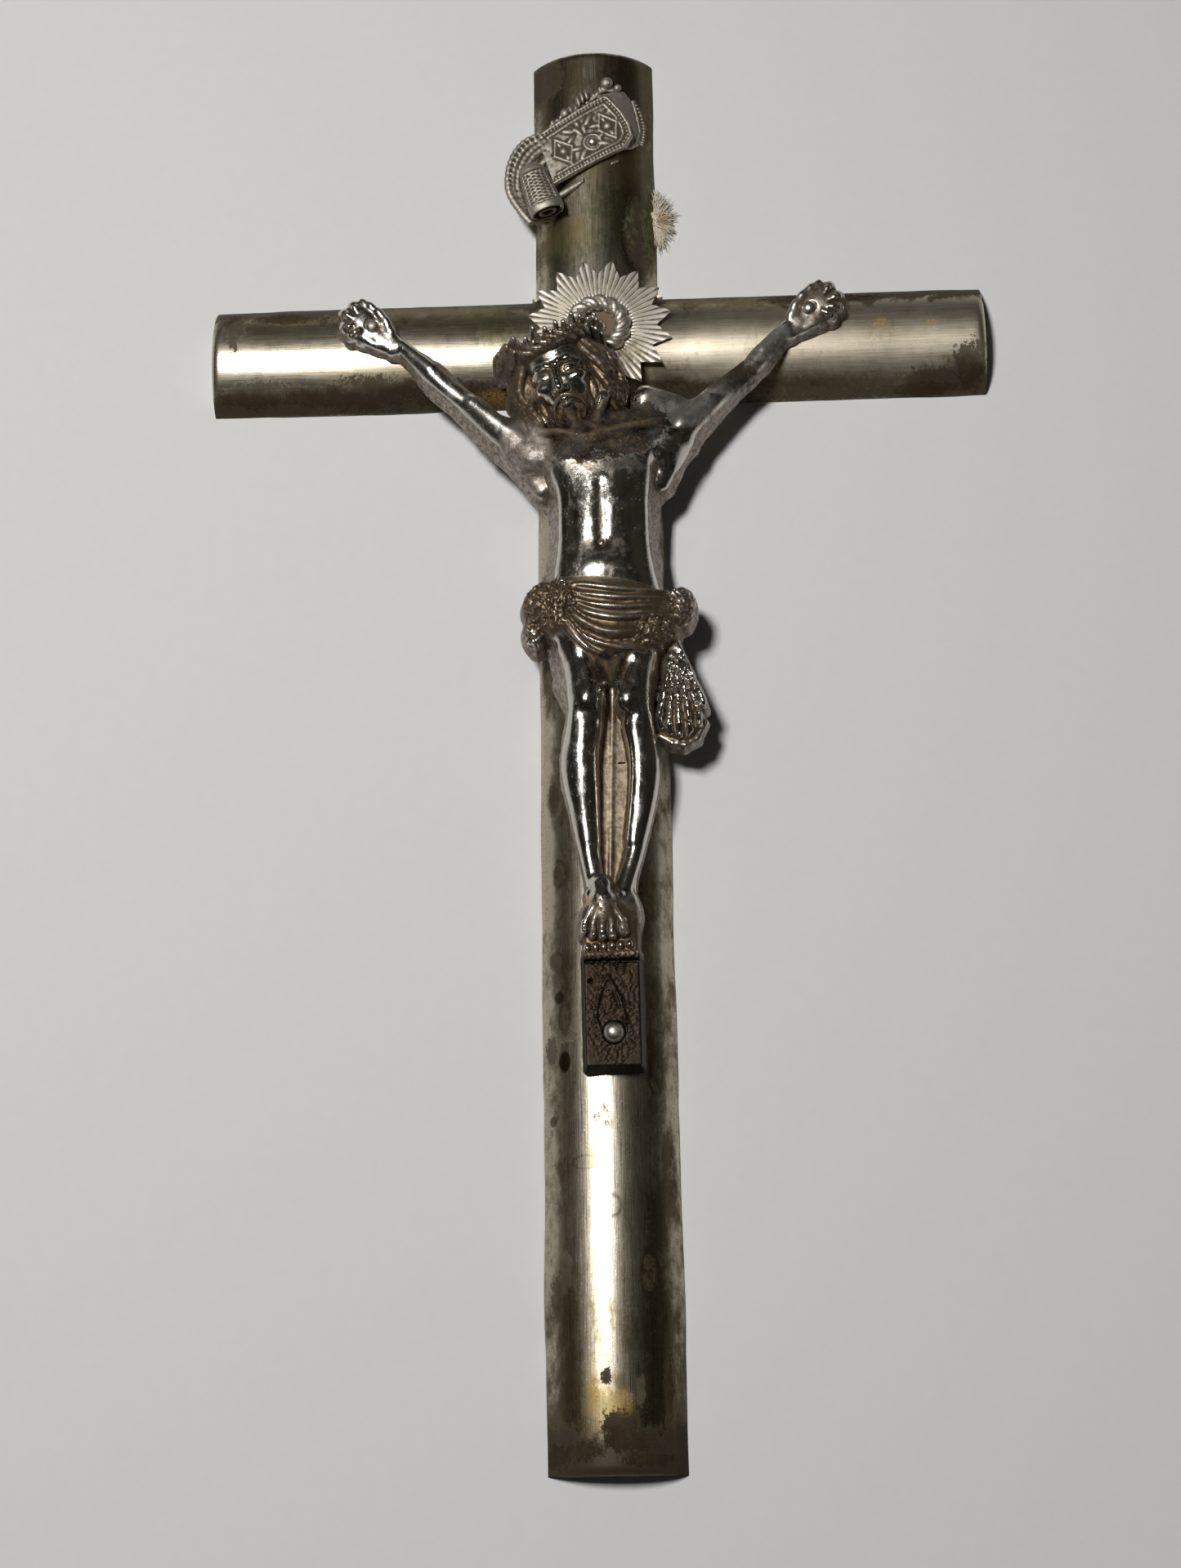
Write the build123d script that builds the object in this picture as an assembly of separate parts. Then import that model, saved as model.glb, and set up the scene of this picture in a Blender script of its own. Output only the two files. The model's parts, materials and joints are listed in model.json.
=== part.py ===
"""Wall crucifix: a pressed half-round sheet cross carrying a cast figure, a rayed halo and a scroll,
held by round-head rivets clinched inside the hollow, with a hanger ring behind the upper arm.

Millimetres: +Z up the upright, +X to the viewer's right, front towards -Y. The origin is where the
centre lines of upright and crossbar meet, on the plane of the shell's open back. Left and right
are the viewer's. A depth is a distance in front of the crowns of the beams.
"""
from build123d import *
import math
import os

# ---------------------------------------------------------------- driving dimensions
TOP = 67.0            # crossing centre to the top end
BOTTOM = 221.0        # crossing centre to the foot end
ARM = 78.5            # crossing centre to each crossbar end
SHEET = 0.8           # shell sheet thickness
CROWN = 7.6           # height of both beams above the open back
UP_RADIUS = 14.06     # arc of the upright, 25 wide
UP_CENTRE = UP_RADIUS - CROWN      # its centre, behind the back plane
BAR_RADIUS = 13.30    # arc of the crossbar, 24 wide
BAR_CENTRE = BAR_RADIUS - CROWN

FIT = 0.05            # radial clearance of a rivet in its hole
GAP = 0.02            # clearance between parts that lie on each other
BACK = CROWN + GAP    # back plane of figure, halo and scroll is at Y = -BACK

# X, Z of the rivets; the halo's is also its centre
HAND_L = (-45.0, 2.1)
HAND_R = (42.9, 3.0)
FOOT = (1.1, -143.3)
SCROLL = (0.0, 44.1)
HALO = (0.5, 2.0)
HAND_SHANK, FOOT_SHANK, SMALL_SHANK = 0.95, 1.15, 0.85     # radii
FIGURE_RIVETS = ((HAND_L, HAND_SHANK), (HAND_R, HAND_SHANK), (FOOT, FOOT_SHANK))
SMALL_RIVETS = ((SCROLL, SMALL_SHANK), (HALO, SMALL_SHANK))

# Depth of the face under each rivet head
HAND_SEAT, FOOT_SEAT, SCROLL_SEAT = 3.4, 5.0, 0.95

HALO_PLATE = 0.8
HALO_TIP, HALO_VALLEY, HALO_POINTS = 15.0, 12.2, 16    # star radii and number of points
HALO_RING, HALO_RING_WIRE = 5.3, 0.95                  # raised ring: main and section radius


# ---------------------------------------------------------------- helpers
def largest_solid(shape):
    return sorted(shape.solids(), key=lambda solid: -solid.volume)[0]


def save(name, shape):
    """Write the main solid of a piece to its own file."""
    solid = largest_solid(shape)
    solid.label = name
    export_step(solid, f"parts/{name}.step")


def rod_y(place, radius, y_start, y_end):
    """Cylinder along Y at place (X, Z)."""
    x, z = place
    length = abs(y_end - y_start)
    return Pos(x, (y_start + y_end) / 2, z) * Rot(90, 0, 0) * Cylinder(radius, length)


def rod_between(start, end, start_radius, end_radius):
    """Round rod between two points, tapered where the radii differ."""
    start, end = Vector(start), Vector(end)
    align = (Align.CENTER, Align.CENTER, Align.MIN)
    length = (end - start).length
    if start_radius == end_radius:
        rod = Cylinder(start_radius, length, align=align)
    else:
        rod = Cone(start_radius, end_radius, length, align=align)
    return Plane(origin=start, z_dir=(end - start)) * rod


def depth_y(depth):
    return -(CROWN + depth)


def hollow_y(radius, centre, across):
    """Y where a flat part reaching this far from the centre line lies just clear of the hollow."""
    return -(math.sqrt((radius - SHEET) ** 2 - across ** 2) - centre) + GAP


# ---------------------------------------------------------------- pressed shell
END_ROUND = 1.8       # rolled-over edge at the four ends
WEB = 1.6             # radius that rounds the inside corners of the crossing
WEB_HEIGHT = 1.5
WEB_LAP = 2.2         # how far a web reaches into the beams

NICK = (12.0, 30.8)   # X, Z of the rim nick that the cord passes through
NICK_TURN = 40.0


def beam(radius, centre, low, high, rounding):
    """Half-round bar along Z, open side on Y = 0, with the edge of both ends rolled over."""
    circle = Circle(radius).moved(Location((0, centre)))
    profile = circle & Rectangle(60, 40).moved(Location((0, -20)))
    bar = largest_solid(Pos(0, 0, low) * extrude(profile, high - low))
    ends = [edge for edge in bar.edges() if edge.geom_type == GeomType.CIRCLE]
    return largest_solid(fillet(ends, rounding))


def corner_web(side_x, side_z, half_up, half_bar, height):
    """Block with a concave edge in one inside corner of the crossing."""
    x_in, x_edge, x_out = (side_x * (half_up + step) for step in (-WEB_LAP, 0, WEB))
    z_in, z_edge, z_out = (side_z * (half_bar + step) for step in (-WEB_LAP, 0, WEB))
    sag = WEB * (1 - math.sqrt(0.5))
    middle = (side_x * (half_up + sag), side_z * (half_bar + sag))
    face = make_face([
        Line((x_in, z_in), (x_out, z_in)),
        Line((x_out, z_in), (x_out, z_edge)),
        ThreePointArc((x_out, z_edge), middle, (x_edge, z_out)),
        Line((x_edge, z_out), (x_in, z_out)),
        Line((x_in, z_out), (x_in, z_in)),
    ])
    web = extrude(face, height)
    # guards against a face whose normal points down, which would put the web behind the back plane
    if web.bounding_box().min.Z < -0.1:
        web = Pos(0, 0, height) * web
    return Rot(90, 0, 0) * web


def pressed_form(inset):
    """Outer form for inset 0; inset by the sheet thickness it is the hollow."""
    rounding = END_ROUND - inset * 0.9
    upright = beam(UP_RADIUS - inset, UP_CENTRE, -BOTTOM + inset, TOP - inset, rounding)
    crossbar = beam(BAR_RADIUS - inset, BAR_CENTRE, -ARM + inset, ARM - inset, rounding)
    form = upright + Rot(0, 90, 0) * crossbar
    half_up = math.sqrt((UP_RADIUS - inset) ** 2 - UP_CENTRE ** 2)
    half_bar = math.sqrt((BAR_RADIUS - inset) ** 2 - BAR_CENTRE ** 2)
    for side_x in (-1, 1):
        for side_z in (-1, 1):
            form = form + corner_web(side_x, side_z, half_up, half_bar, WEB_HEIGHT - inset * 0.6)
    return form


def cross_shell(outer):
    shell = outer - pressed_form(SHEET)
    for place, shank in FIGURE_RIVETS + SMALL_RIVETS:
        shell = shell - rod_y(place, shank + FIT, -CROWN - 2, -3)
    return shell - Pos(NICK[0], -0.25, NICK[1]) * Rot(0, NICK_TURN, 0) * Box(6.4, 0.52, 3.6)


# ---------------------------------------------------------------- cast figure
WALL = 1.5            # casting wall

# Level ellipses: z, x, depth, half width, half depth
TRUNK = [
    (-24.5, -0.5, 4.0, 10.5, 4.2),
    (-29.0, 0.3, 4.2, 13.2, 5.6),
    (-36.0, 0.6, 4.2, 13.4, 6.0),
    (-43.0, 0.3, 3.6, 11.6, 5.2),
    (-49.5, 0.2, 3.2, 10.4, 4.9),
    (-56.0, 0.9, 3.6, 11.2, 5.2),
    (-63.0, 1.4, 3.8, 13.4, 5.8),
    (-71.0, 1.6, 3.8, 13.0, 5.4),
]
CLOTH = [
    (-55.0, 1.0, 3.4, 11.4, 5.8),
    (-59.5, 1.3, 3.6, 14.2, 7.0),
    (-65.0, 1.7, 3.8, 14.6, 7.2),
    (-71.0, 2.4, 3.8, 13.2, 6.8),
    (-74.0, 2.8, 3.6, 10.6, 5.6),
]

# Limb stations: x, z, depth, radius
NECK = [(-1.0, -23.5, 4.6, 4.2), (-4.5, -17.0, 6.2, 3.8)]
LOCKS = [
    [(-15.2, -8.0, 3.6, 3.0), (-14.6, -16.0, 3.4, 2.8), (-12.4, -23.0, 3.2, 2.2)],
    [(1.2, -8.0, 4.6, 2.8), (3.6, -14.5, 4.6, 2.6), (4.4, -20.0, 4.6, 2.0)],
]
ARMS = [
    [(-12.0, -27.5, 4.4, 4.7), (-22.5, -20.3, 3.7, 3.7), (-31.2, -12.4, 3.1, 3.1),
     (-36.8, -6.6, 3.0, 3.0), (-41.5, -1.0, 2.5, 2.2)],
    [(12.0, -27.0, 4.4, 4.7), (21.0, -18.6, 3.7, 3.7), (29.6, -10.2, 3.1, 3.1),
     (34.4, -5.0, 3.0, 3.0), (38.6, 0.2, 2.5, 2.2)],
]
LEGS = [
    [(-6.2, -66.0, 3.8, 6.4), (-3.9, -82.0, 4.9, 4.9), (-3.4, -94.0, 3.9, 4.6),
     (-1.6, -115.0, 3.1, 2.8), (0.2, -121.0, 3.2, 3.0)],
    [(7.2, -68.0, 3.8, 6.2), (5.6, -82.0, 4.6, 4.7), (5.4, -94.0, 3.6, 4.5),
     (3.8, -115.0, 2.8, 2.7), (1.8, -121.0, 2.8, 3.0)],
]
CLOTH_TAIL = [(14.2, -66.5, 2.8, 2.2), (14.9, -76.0, 2.2, 3.4), (14.6, -84.0, 1.8, 3.6)]

# Ellipsoids: x, z, depth, semi-axes across, in depth and up, spin
HANDS = [(-45.2, 2.8, 1.4, 4.5, 2.8, 6.2, -42), (42.9, 4.0, 1.4, 4.5, 2.8, 6.2, 42)]
FEET = (0.7, -123.5, 3.4, 4.6, 4.0, 5.6, 0)
KNOTS = [(-10.9, -60.5, 4.2, 4.2, 4.8, 5.2, 0), (15.0, -61.0, 3.6, 3.6, 4.0, 4.6, 0)]

# Head frame: u across, v up, w forward; it leans to -X and is bowed forward
HEAD_X, HEAD_Z, HEAD_DEPTH = -6.6, -11.8, 7.2
HEAD_LEAN, HEAD_BOW = -27.0, 14.0

# Ellipsoids in the head frame: u, v, w, then the semi-axes along them
SKULL = (0, 0, 0, 6.4, 8.6, 7.0)
HAIR = (0, 1.6, -1.8, 8.2, 9.4, 6.4)
FEATURES = [
    (0, 2.6, 5.4, 3.6, 0.9, 1.5),          # brow
    (-2.1, 1.1, 5.6, 1.25, 0.75, 0.9),     # lowered lids
    (2.1, 1.1, 5.6, 1.25, 0.75, 0.9),
    (0, -0.3, 6.5, 0.8, 2.1, 1.5),         # nose
    (0, -3.6, 6.0, 1.7, 0.55, 0.9),        # lips
    (0, -4.5, 5.8, 1.3, 0.5, 0.8),
]


def ellipsoid(x, z, depth, across, deep, up, spin):
    """Spin is in degrees about Y, clockwise seen from the front."""
    ball = scale(Sphere(1.0), by=(across, deep, up))
    return Pos(x, depth_y(depth), z) * Rot(0, spin, 0) * ball


def limb(stations):
    """Tapered rod through the stations, with a ball at each."""
    points = [(x, depth_y(depth), z) for x, z, depth, _ in stations]
    radii = [station[3] for station in stations]
    balls = [Pos(*point) * Sphere(radius) for point, radius in zip(points, radii)]
    shape = balls[0]
    for ball in balls[1:]:
        shape = shape + ball
    for start, end, start_radius, end_radius in zip(points, points[1:], radii, radii[1:]):
        shape = shape + rod_between(start, end, start_radius, end_radius)
    return shape


def stack(sections):
    """Loft through level ellipses."""
    return loft([
        Plane(origin=(x, depth_y(depth), z)) * Ellipse(across, deep)
        for z, x, depth, across, deep in sections
    ])


def place_on_head(shape):
    centre = Pos(HEAD_X, depth_y(HEAD_DEPTH), HEAD_Z)
    return centre * Rot(0, HEAD_LEAN, 0) * Rot(HEAD_BOW, 0, 0) * shape


def on_head(u, v, w, u_radius, v_radius, w_radius, spin=0.0):
    ball = scale(Sphere(1.0), by=(u_radius, w_radius, v_radius))
    return place_on_head(Pos(u, -w, v) * Rot(0, spin, 0) * ball)


def head_pieces():
    # two points side by side, and the mass on the chin behind them
    beard = on_head(-0.9, -8.0, 4.4, 1.9, 3.4, 2.4, spin=8)
    beard = beard + on_head(0.9, -8.0, 4.4, 1.9, 3.4, 2.4, spin=-8)
    beard = beard + on_head(0, -6.4, 3.4, 4.6, 2.6, 2.8)
    wreath = place_on_head(Pos(0, 0.9, 3.9) * Rot(10, 0, 0) * Torus(6.5, 1.1))
    features = [on_head(*feature) for feature in FEATURES]
    locks = [limb(lock) for lock in LOCKS]
    return [on_head(*SKULL), on_head(*HAIR), beard, wreath, *features, *locks]


def foot_block_pieces():
    """Lip and block below the feet, pierced by the foot rivet."""
    block = Pos(1.25, depth_y(2.4), -139.6) * Box(10.6, 5.2, 22.0)
    block = fillet(block.edges().filter_by(Axis.Y), 0.8)
    lip = Pos(1.35, depth_y(2.9), -128.8) * Box(11.0, 6.2, 2.4)
    return [lip, block]


def corpus():
    figure = stack(TRUNK)
    for piece in (
        limb(NECK),
        *head_pieces(),
        *[limb(arm) for arm in ARMS],
        *[ellipsoid(*hand) for hand in HANDS],
        *[limb(leg) for leg in LEGS],
        ellipsoid(*FEET),
        stack(CLOTH),
        *[ellipsoid(*knot) for knot in KNOTS],
        limb(CLOTH_TAIL),
        *foot_block_pieces(),
    ):
        figure = figure + piece
    front_space = Pos(0, -BACK - 20, -60) * Box(130, 40, 200)
    figure = figure & front_space
    # hollow back of the casting, behind the trunk
    core = stack([
        (z, x, depth - WALL, across - WALL, deep) for z, x, depth, across, deep in TRUNK[1:-1]
    ])
    figure = figure - (core & front_space)
    # seats that let the halo, its ring and its rivet head lie behind the head
    halo_front = -BACK - HALO_PLATE
    figure = figure - rod_y(HALO, HALO_TIP + 0.4, 0, halo_front - 0.3)
    figure = figure - rod_y(HALO, HALO_RING + HALO_RING_WIRE + 0.5, 0, halo_front - 1.3)
    for place, shank in FIGURE_RIVETS:
        figure = figure - rod_y(place, shank + FIT, 0, -40)
    # flats that the hand rivets' heads sit on
    for place in (HAND_L, HAND_R):
        figure = figure - rod_y(place, 1.9, depth_y(HAND_SEAT), -40)
    return figure


# ---------------------------------------------------------------- halo
RIB_END = 14.0        # radius where the ribs end
RIB_WIDE, RIB_THICK = 0.7, 0.5


def halo():
    """Star plate with a raised ring and a rib along each point."""
    star = []
    for i in range(HALO_POINTS * 2):
        angle = math.pi * i / HALO_POINTS + math.pi / 2
        radius = HALO_TIP if i % 2 == 0 else HALO_VALLEY
        star.append((radius * math.cos(angle), radius * math.sin(angle)))
    plate = extrude(make_face(Polyline(*star, close=True)), HALO_PLATE)
    ring = Pos(0, 0, HALO_PLATE) * Torus(HALO_RING, HALO_RING_WIRE)
    ring = ring & (Pos(0, 0, 3) * Box(40, 40, 6))
    rays = plate + ring
    for i in range(HALO_POINTS):
        rib = Box(RIB_END - HALO_RING, RIB_WIDE, RIB_THICK)
        rib = Pos((HALO_RING + RIB_END) / 2, 0, HALO_PLATE) * rib
        rays = rays + Rot(0, 0, 360.0 * i / HALO_POINTS + 90) * rib
    rays = rays - Cylinder(SMALL_SHANK + FIT, 10)
    return Pos(HALO[0], -BACK, HALO[1]) * Rot(90, 0, 0) * rays


# ---------------------------------------------------------------- scroll
SCROLL_TURN = 31.0    # rises from the lower left to the upper right
SCROLL_WIDE = 8.8

# Banner section: u along the banner, n forward of the crown plane
BANNER_FRONT = [
    (-17.2, -1.4), (-14.5, 1.9), (-9.0, 2.2), (-3.0, 1.25), (3.0, 1.0), (8.5, 1.1), (12.6, 0.2),
]
BANNER_BACK = [
    (-16.0, -2.2), (-13.6, 0.9), (-9.0, 1.25), (-3.0, 0.3), (3.0, 0.08), (8.5, 0.1), (12.2, -0.8),
]


def scroll(outer):
    section = make_face([
        Spline(*BANNER_FRONT),
        Line(BANNER_FRONT[-1], BANNER_BACK[-1]),
        Spline(*reversed(BANNER_BACK)),
        Line(BANNER_BACK[0], BANNER_FRONT[0]),
    ])
    banner = Pos(0, 0, -SCROLL_WIDE / 2) * extrude(section, SCROLL_WIDE)
    banner = Rot(180, 0, 0) * banner       # turns n to -Y
    lower_roll = Pos(-15.2, -0.2, 0.2) * Cylinder(2.1, SCROLL_WIDE - 0.4)
    upper_fold = Pos(11.9, 0.4, 0.5) * Cylinder(1.2, SCROLL_WIDE - 1.2)
    upper_leaf = Pos(6.2, 0.75, 5.6) * Rot(0, -6, 0) * Box(11.0, 1.0, 7.6)
    shape = banner + lower_roll + upper_fold + upper_leaf
    shape = Pos(SCROLL[0], -BACK, SCROLL[1]) * Rot(0, -SCROLL_TURN, 0) * shape
    # nothing may reach into the shell or behind its back plane
    shape = shape - (outer + Pos(0, 5, 40) * Box(80, 10, 80))
    shape = shape - rod_y(SCROLL, SMALL_SHANK + FIT, 0, -30)
    return shape - rod_y(SCROLL, 1.5, depth_y(SCROLL_SEAT), -30)     # flat for the rivet head


# ---------------------------------------------------------------- rivets and washers
WASHER_THICK = 0.5
HAND_RIM, FOOT_RIM, HALO_RIM = 2.6, 3.0, 2.2     # washer radii
CLINCH_LIP, CLINCH_THICK = 0.75, 0.7             # clinched tail beyond the shank, its thickness


def rivet(place, shank, head_radius, head_height, seat, tail_y):
    """Round head on the face at depth seat, shank back to a clinched tail behind Y = tail_y."""
    ball_radius = (head_radius ** 2 + head_height ** 2) / (2 * head_height)
    ball = Pos(0, 0, head_height - ball_radius) * Sphere(ball_radius)
    cap = ball & (Pos(0, 0, head_height) * Box(20, 20, 2 * head_height))
    cap = Pos(place[0], depth_y(seat), place[1]) * Rot(90, 0, 0) * cap
    stem = rod_y(place, shank, depth_y(seat) - 0.2, tail_y)
    clinch = rod_y(place, shank + CLINCH_LIP, tail_y, tail_y + CLINCH_THICK)
    clinch = chamfer(clinch.edges().sort_by(Axis.Y)[-1], 0.3)
    return cap + stem + clinch


def washer(place, shank, rim, y_front):
    y_back = y_front + WASHER_THICK
    return rod_y(place, rim, y_front, y_back) - rod_y(place, shank + FIT, y_front - 1, y_back + 1)


# name, place, shank, head radius, head height, seat depth, washer rim, Y of the washer's front
WASHERED_RIVETS = [
    ("left_hand", HAND_L, HAND_SHANK, 1.7, 1.25, HAND_SEAT, HAND_RIM,
     hollow_y(BAR_RADIUS, BAR_CENTRE, HAND_RIM + abs(HAND_L[1]))),
    ("right_hand", HAND_R, HAND_SHANK, 1.7, 1.25, HAND_SEAT, HAND_RIM,
     hollow_y(BAR_RADIUS, BAR_CENTRE, HAND_RIM + abs(HAND_R[1]))),
    ("foot", FOOT, FOOT_SHANK, 2.0, 1.45, FOOT_SEAT, FOOT_RIM,
     hollow_y(UP_RADIUS, UP_CENTRE, FOOT_RIM + abs(FOOT[0]))),
    ("halo", HALO, SMALL_SHANK, 1.5, 0.75, GAP + HALO_PLATE, HALO_RIM, -(CROWN - SHEET) + 0.35),
]

# ---------------------------------------------------------------- hanger behind the upper arm
STRAP_WIDE, STRAP_THICK = 6.0, 0.7
STRAP_Y = hollow_y(UP_RADIUS, UP_CENTRE, STRAP_WIDE / 2)     # front face of the strap
KNUCKLE_RADIUS = 1.75
RING_Z, RING_Y, RING_WIRE = 52.5, -3.3, 0.8   # hinge line and wire radius
RING_HALF, RING_RISE = 4.6, 8.2               # half width of the straight bar, rise of the bow


def hinge_rod(radius, length):
    """Cylinder along X on the hinge line."""
    return Pos(0, RING_Y, RING_Z) * Rot(0, 90, 0) * Cylinder(radius, length)


def hanger_strap():
    low, high = SCROLL[1] - 4.0, RING_Z - 0.5
    tab = Box(STRAP_WIDE, STRAP_THICK, high - low)
    tab = Pos(0, STRAP_Y + STRAP_THICK / 2, (low + high) / 2) * tab
    riser = Box(STRAP_WIDE, abs(RING_Y - STRAP_Y), 1.2)
    riser = Pos(0, (STRAP_Y + RING_Y) / 2, RING_Z - 1.15) * riser
    strap = tab + riser + hinge_rod(KNUCKLE_RADIUS, STRAP_WIDE)
    strap = strap - hinge_rod(RING_WIRE + 0.06, STRAP_WIDE + 4)
    return strap - rod_y(SCROLL, SMALL_SHANK + FIT, 0, -20)


def hanger_ring():
    """D-shaped wire: a straight bar in the knuckle and a bow above it."""
    left_half = [(-RING_HALF, 0.0), (-RING_HALF - 0.6, 2.6), (-RING_HALF + 1.0, RING_RISE - 1.6)]
    bow = left_half + [(0, RING_RISE)] + [(-x, z) for x, z in reversed(left_half)]
    line = Spline(*[(x, RING_Y, RING_Z + z) for x, z in bow])
    bow_wire = sweep(Plane(origin=line @ 0, z_dir=line % 0) * Circle(RING_WIRE), line)
    corners = [Pos(x, RING_Y, RING_Z) * Sphere(RING_WIRE * 1.02) for x in (-RING_HALF, RING_HALF)]
    return bow_wire + hinge_rod(RING_WIRE, 2 * RING_HALF) + (corners[0] + corners[1])


# ---------------------------------------------------------------- remnant of a hanging cord
CORD_RADIUS = 0.8
CORD_RUN = [(5.0, -1.6, 41.0), (8.0, -1.4, 36.2), (9.9, -1.0, 33.0)]     # X, Y, Z


def cord_end():
    first, middle, last = CORD_RUN
    cord = rod_between(first, middle, CORD_RADIUS, CORD_RADIUS)
    cord = cord + rod_between(middle, last, CORD_RADIUS, CORD_RADIUS)
    for point in CORD_RUN:
        cord = cord + Pos(*point) * Sphere(CORD_RADIUS)
    # strands squeezed flat in the nick, a step up to the round cord, and the frayed end
    pressed = Pos(NICK[0], -0.24, NICK[1]) * Rot(0, NICK_TURN, 0) * Box(6.3, 0.4, 3.4)
    step = Pos(9.6, -0.62, 32.6) * Rot(0, NICK_TURN, 0) * Box(1.4, 1.1, 1.4)
    brush = Pos(14.9, -0.36, 29.9) * scale(Sphere(1.0), by=(2.4, 0.32, 4.3))
    return cord + step + pressed + brush


# ---------------------------------------------------------------- output
os.makedirs("parts", exist_ok=True)

outer_form = pressed_form(0.0)
save("cross_shell", cross_shell(outer_form))
save("corpus", corpus())
save("halo", halo())
save("scroll", scroll(outer_form))
for name, place, shank, head_radius, head_height, seat, rim, washer_y in WASHERED_RIVETS:
    save(f"washer_{name}", washer(place, shank, rim, washer_y))
    tail_y = washer_y + WASHER_THICK
    save(f"rivet_{name}", rivet(place, shank, head_radius, head_height, seat, tail_y))
save("hanger_strap", hanger_strap())
save("hanger_ring", hanger_ring())
save("rivet_scroll", rivet(SCROLL, SMALL_SHANK, 1.4, 1.15, SCROLL_SEAT, STRAP_Y + STRAP_THICK))
save("cord_end", cord_end())
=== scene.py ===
"""A wall crucifix: a half-round pressed metal cross that carries a cast figure, a rayed halo with a
rope ring, a scroll above the head and the frayed end of a cord.

The cross stands upright in the XZ plane, centred where its arms meet, with its open back on y = 0
and its front towards -Y. Shapes are worked out in millimetres and stored in metres.
"""
import json
import math
from functools import partial
from itertools import product

import bmesh
import bpy
import numpy as np
from mathutils import Matrix, Vector

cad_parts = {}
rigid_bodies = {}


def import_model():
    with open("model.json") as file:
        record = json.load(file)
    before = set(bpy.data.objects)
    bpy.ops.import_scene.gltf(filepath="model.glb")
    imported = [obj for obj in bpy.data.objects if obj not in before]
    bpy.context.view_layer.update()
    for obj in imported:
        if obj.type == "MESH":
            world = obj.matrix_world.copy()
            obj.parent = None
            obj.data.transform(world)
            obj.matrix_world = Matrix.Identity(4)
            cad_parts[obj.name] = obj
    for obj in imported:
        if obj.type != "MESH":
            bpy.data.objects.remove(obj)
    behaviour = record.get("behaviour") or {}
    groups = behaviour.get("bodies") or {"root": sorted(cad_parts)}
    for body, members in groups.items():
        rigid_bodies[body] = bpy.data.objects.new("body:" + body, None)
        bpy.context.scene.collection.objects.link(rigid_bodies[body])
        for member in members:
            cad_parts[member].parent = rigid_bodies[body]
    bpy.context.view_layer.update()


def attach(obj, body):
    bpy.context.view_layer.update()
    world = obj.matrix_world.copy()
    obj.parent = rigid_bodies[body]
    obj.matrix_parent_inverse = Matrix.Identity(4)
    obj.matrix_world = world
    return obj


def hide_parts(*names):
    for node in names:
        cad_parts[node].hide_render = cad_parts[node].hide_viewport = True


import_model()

COARSE = 1.0          # factor on the voxel sizes
SHELL_STEP = 0.8

CROWN = 7.62                            # figure's back plane in front of the shell's open back
CREST = 7.6                             # height of the shell's crest
HALO_X, HALO_Z = 0.5, 2.0               # centre of the halo
TOP, BOTTOM, ARM, SHEET = 67.0, 221.0, 78.5, 0.8    # the cross's reaches and its sheet
# round section of each beam: radius, how far its centre lies behind the back, half width
UP_RADIUS, UP_CENTRE, UP_HALF = 14.06, 6.46, 12.49
BAR_RADIUS, BAR_CENTRE, BAR_HALF = 13.30, 5.70, 12.01
CORNER, END = 1.6, 1.8                  # corner fillets, rounding of the ends
RIVET_SEAT = 1.95                       # radius of the flats under the rivets

# =================================================================================================
# Sculpting kit: signed-distance volumes. Axes are x (right), z (up) and depth (out of the crown
# plane, towards the viewer). A volume is filled with primitives, then turned into a mesh.
# =================================================================================================
CUBE = list(product((0, 1), repeat=3))
LATTICE = np.random.default_rng(11).random((64, 64, 64)).astype(np.float32) * 2 - 1


def rot(roll=0.0, nod=0.0, yaw=0.0):
    """roll: counter-clockwise seen from the front; nod: top comes forward; yaw: to the right."""
    a, b, c = map(math.radians, (roll, nod, yaw))
    rolled = np.array([[math.cos(a), -math.sin(a), 0], [math.sin(a), math.cos(a), 0], [0, 0, 1]])
    nodded = np.array([[1, 0, 0], [0, math.cos(b), -math.sin(b)], [0, math.sin(b), math.cos(b)]])
    yawed = np.array([[math.cos(c), 0, math.sin(c)], [0, 1, 0], [-math.sin(c), 0, math.cos(c)]])
    return rolled @ nodded @ yawed


class Place:
    """A local frame: origin, rotation, scale, and side = -1 to mirror its x."""

    def __init__(self, origin=(0, 0, 0), turn=None, scale=1.0, side=1):
        self.origin = np.array(origin, float)
        self.turn = np.eye(3) if turn is None else turn
        self.scale = scale
        self.stretch = np.array([side * scale, scale, scale])

    def __call__(self, point):
        return self.origin + self.turn @ (np.array(point, float) * self.stretch)


HERE = Place()


def smin(a, b, blend):
    """Minimum with a rounded joint."""
    if blend <= 0:
        return np.minimum(a, b)
    h = np.maximum(blend - np.abs(a - b), 0) / blend
    return np.minimum(a, b) - h * h * (blend * 0.25)


def curl(points, count):
    """Smooth curve through points of any width, sampled at count places (Catmull-Rom)."""
    p = np.array(points, float)
    p = np.vstack([2 * p[0] - p[1], p, 2 * p[-1] - p[-2]])
    out = []
    for u in np.linspace(0, len(p) - 3, count):
        i = min(int(u), len(p) - 4)
        t = u - i
        a, b, c, d = p[i:i + 4]
        out.append(0.5 * (2 * b + (c - a) * t + (2 * a - 5 * b + 4 * c - d) * t * t
                          + (3 * b - a - 3 * c + d) * t ** 3))
    return np.array(out)


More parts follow.
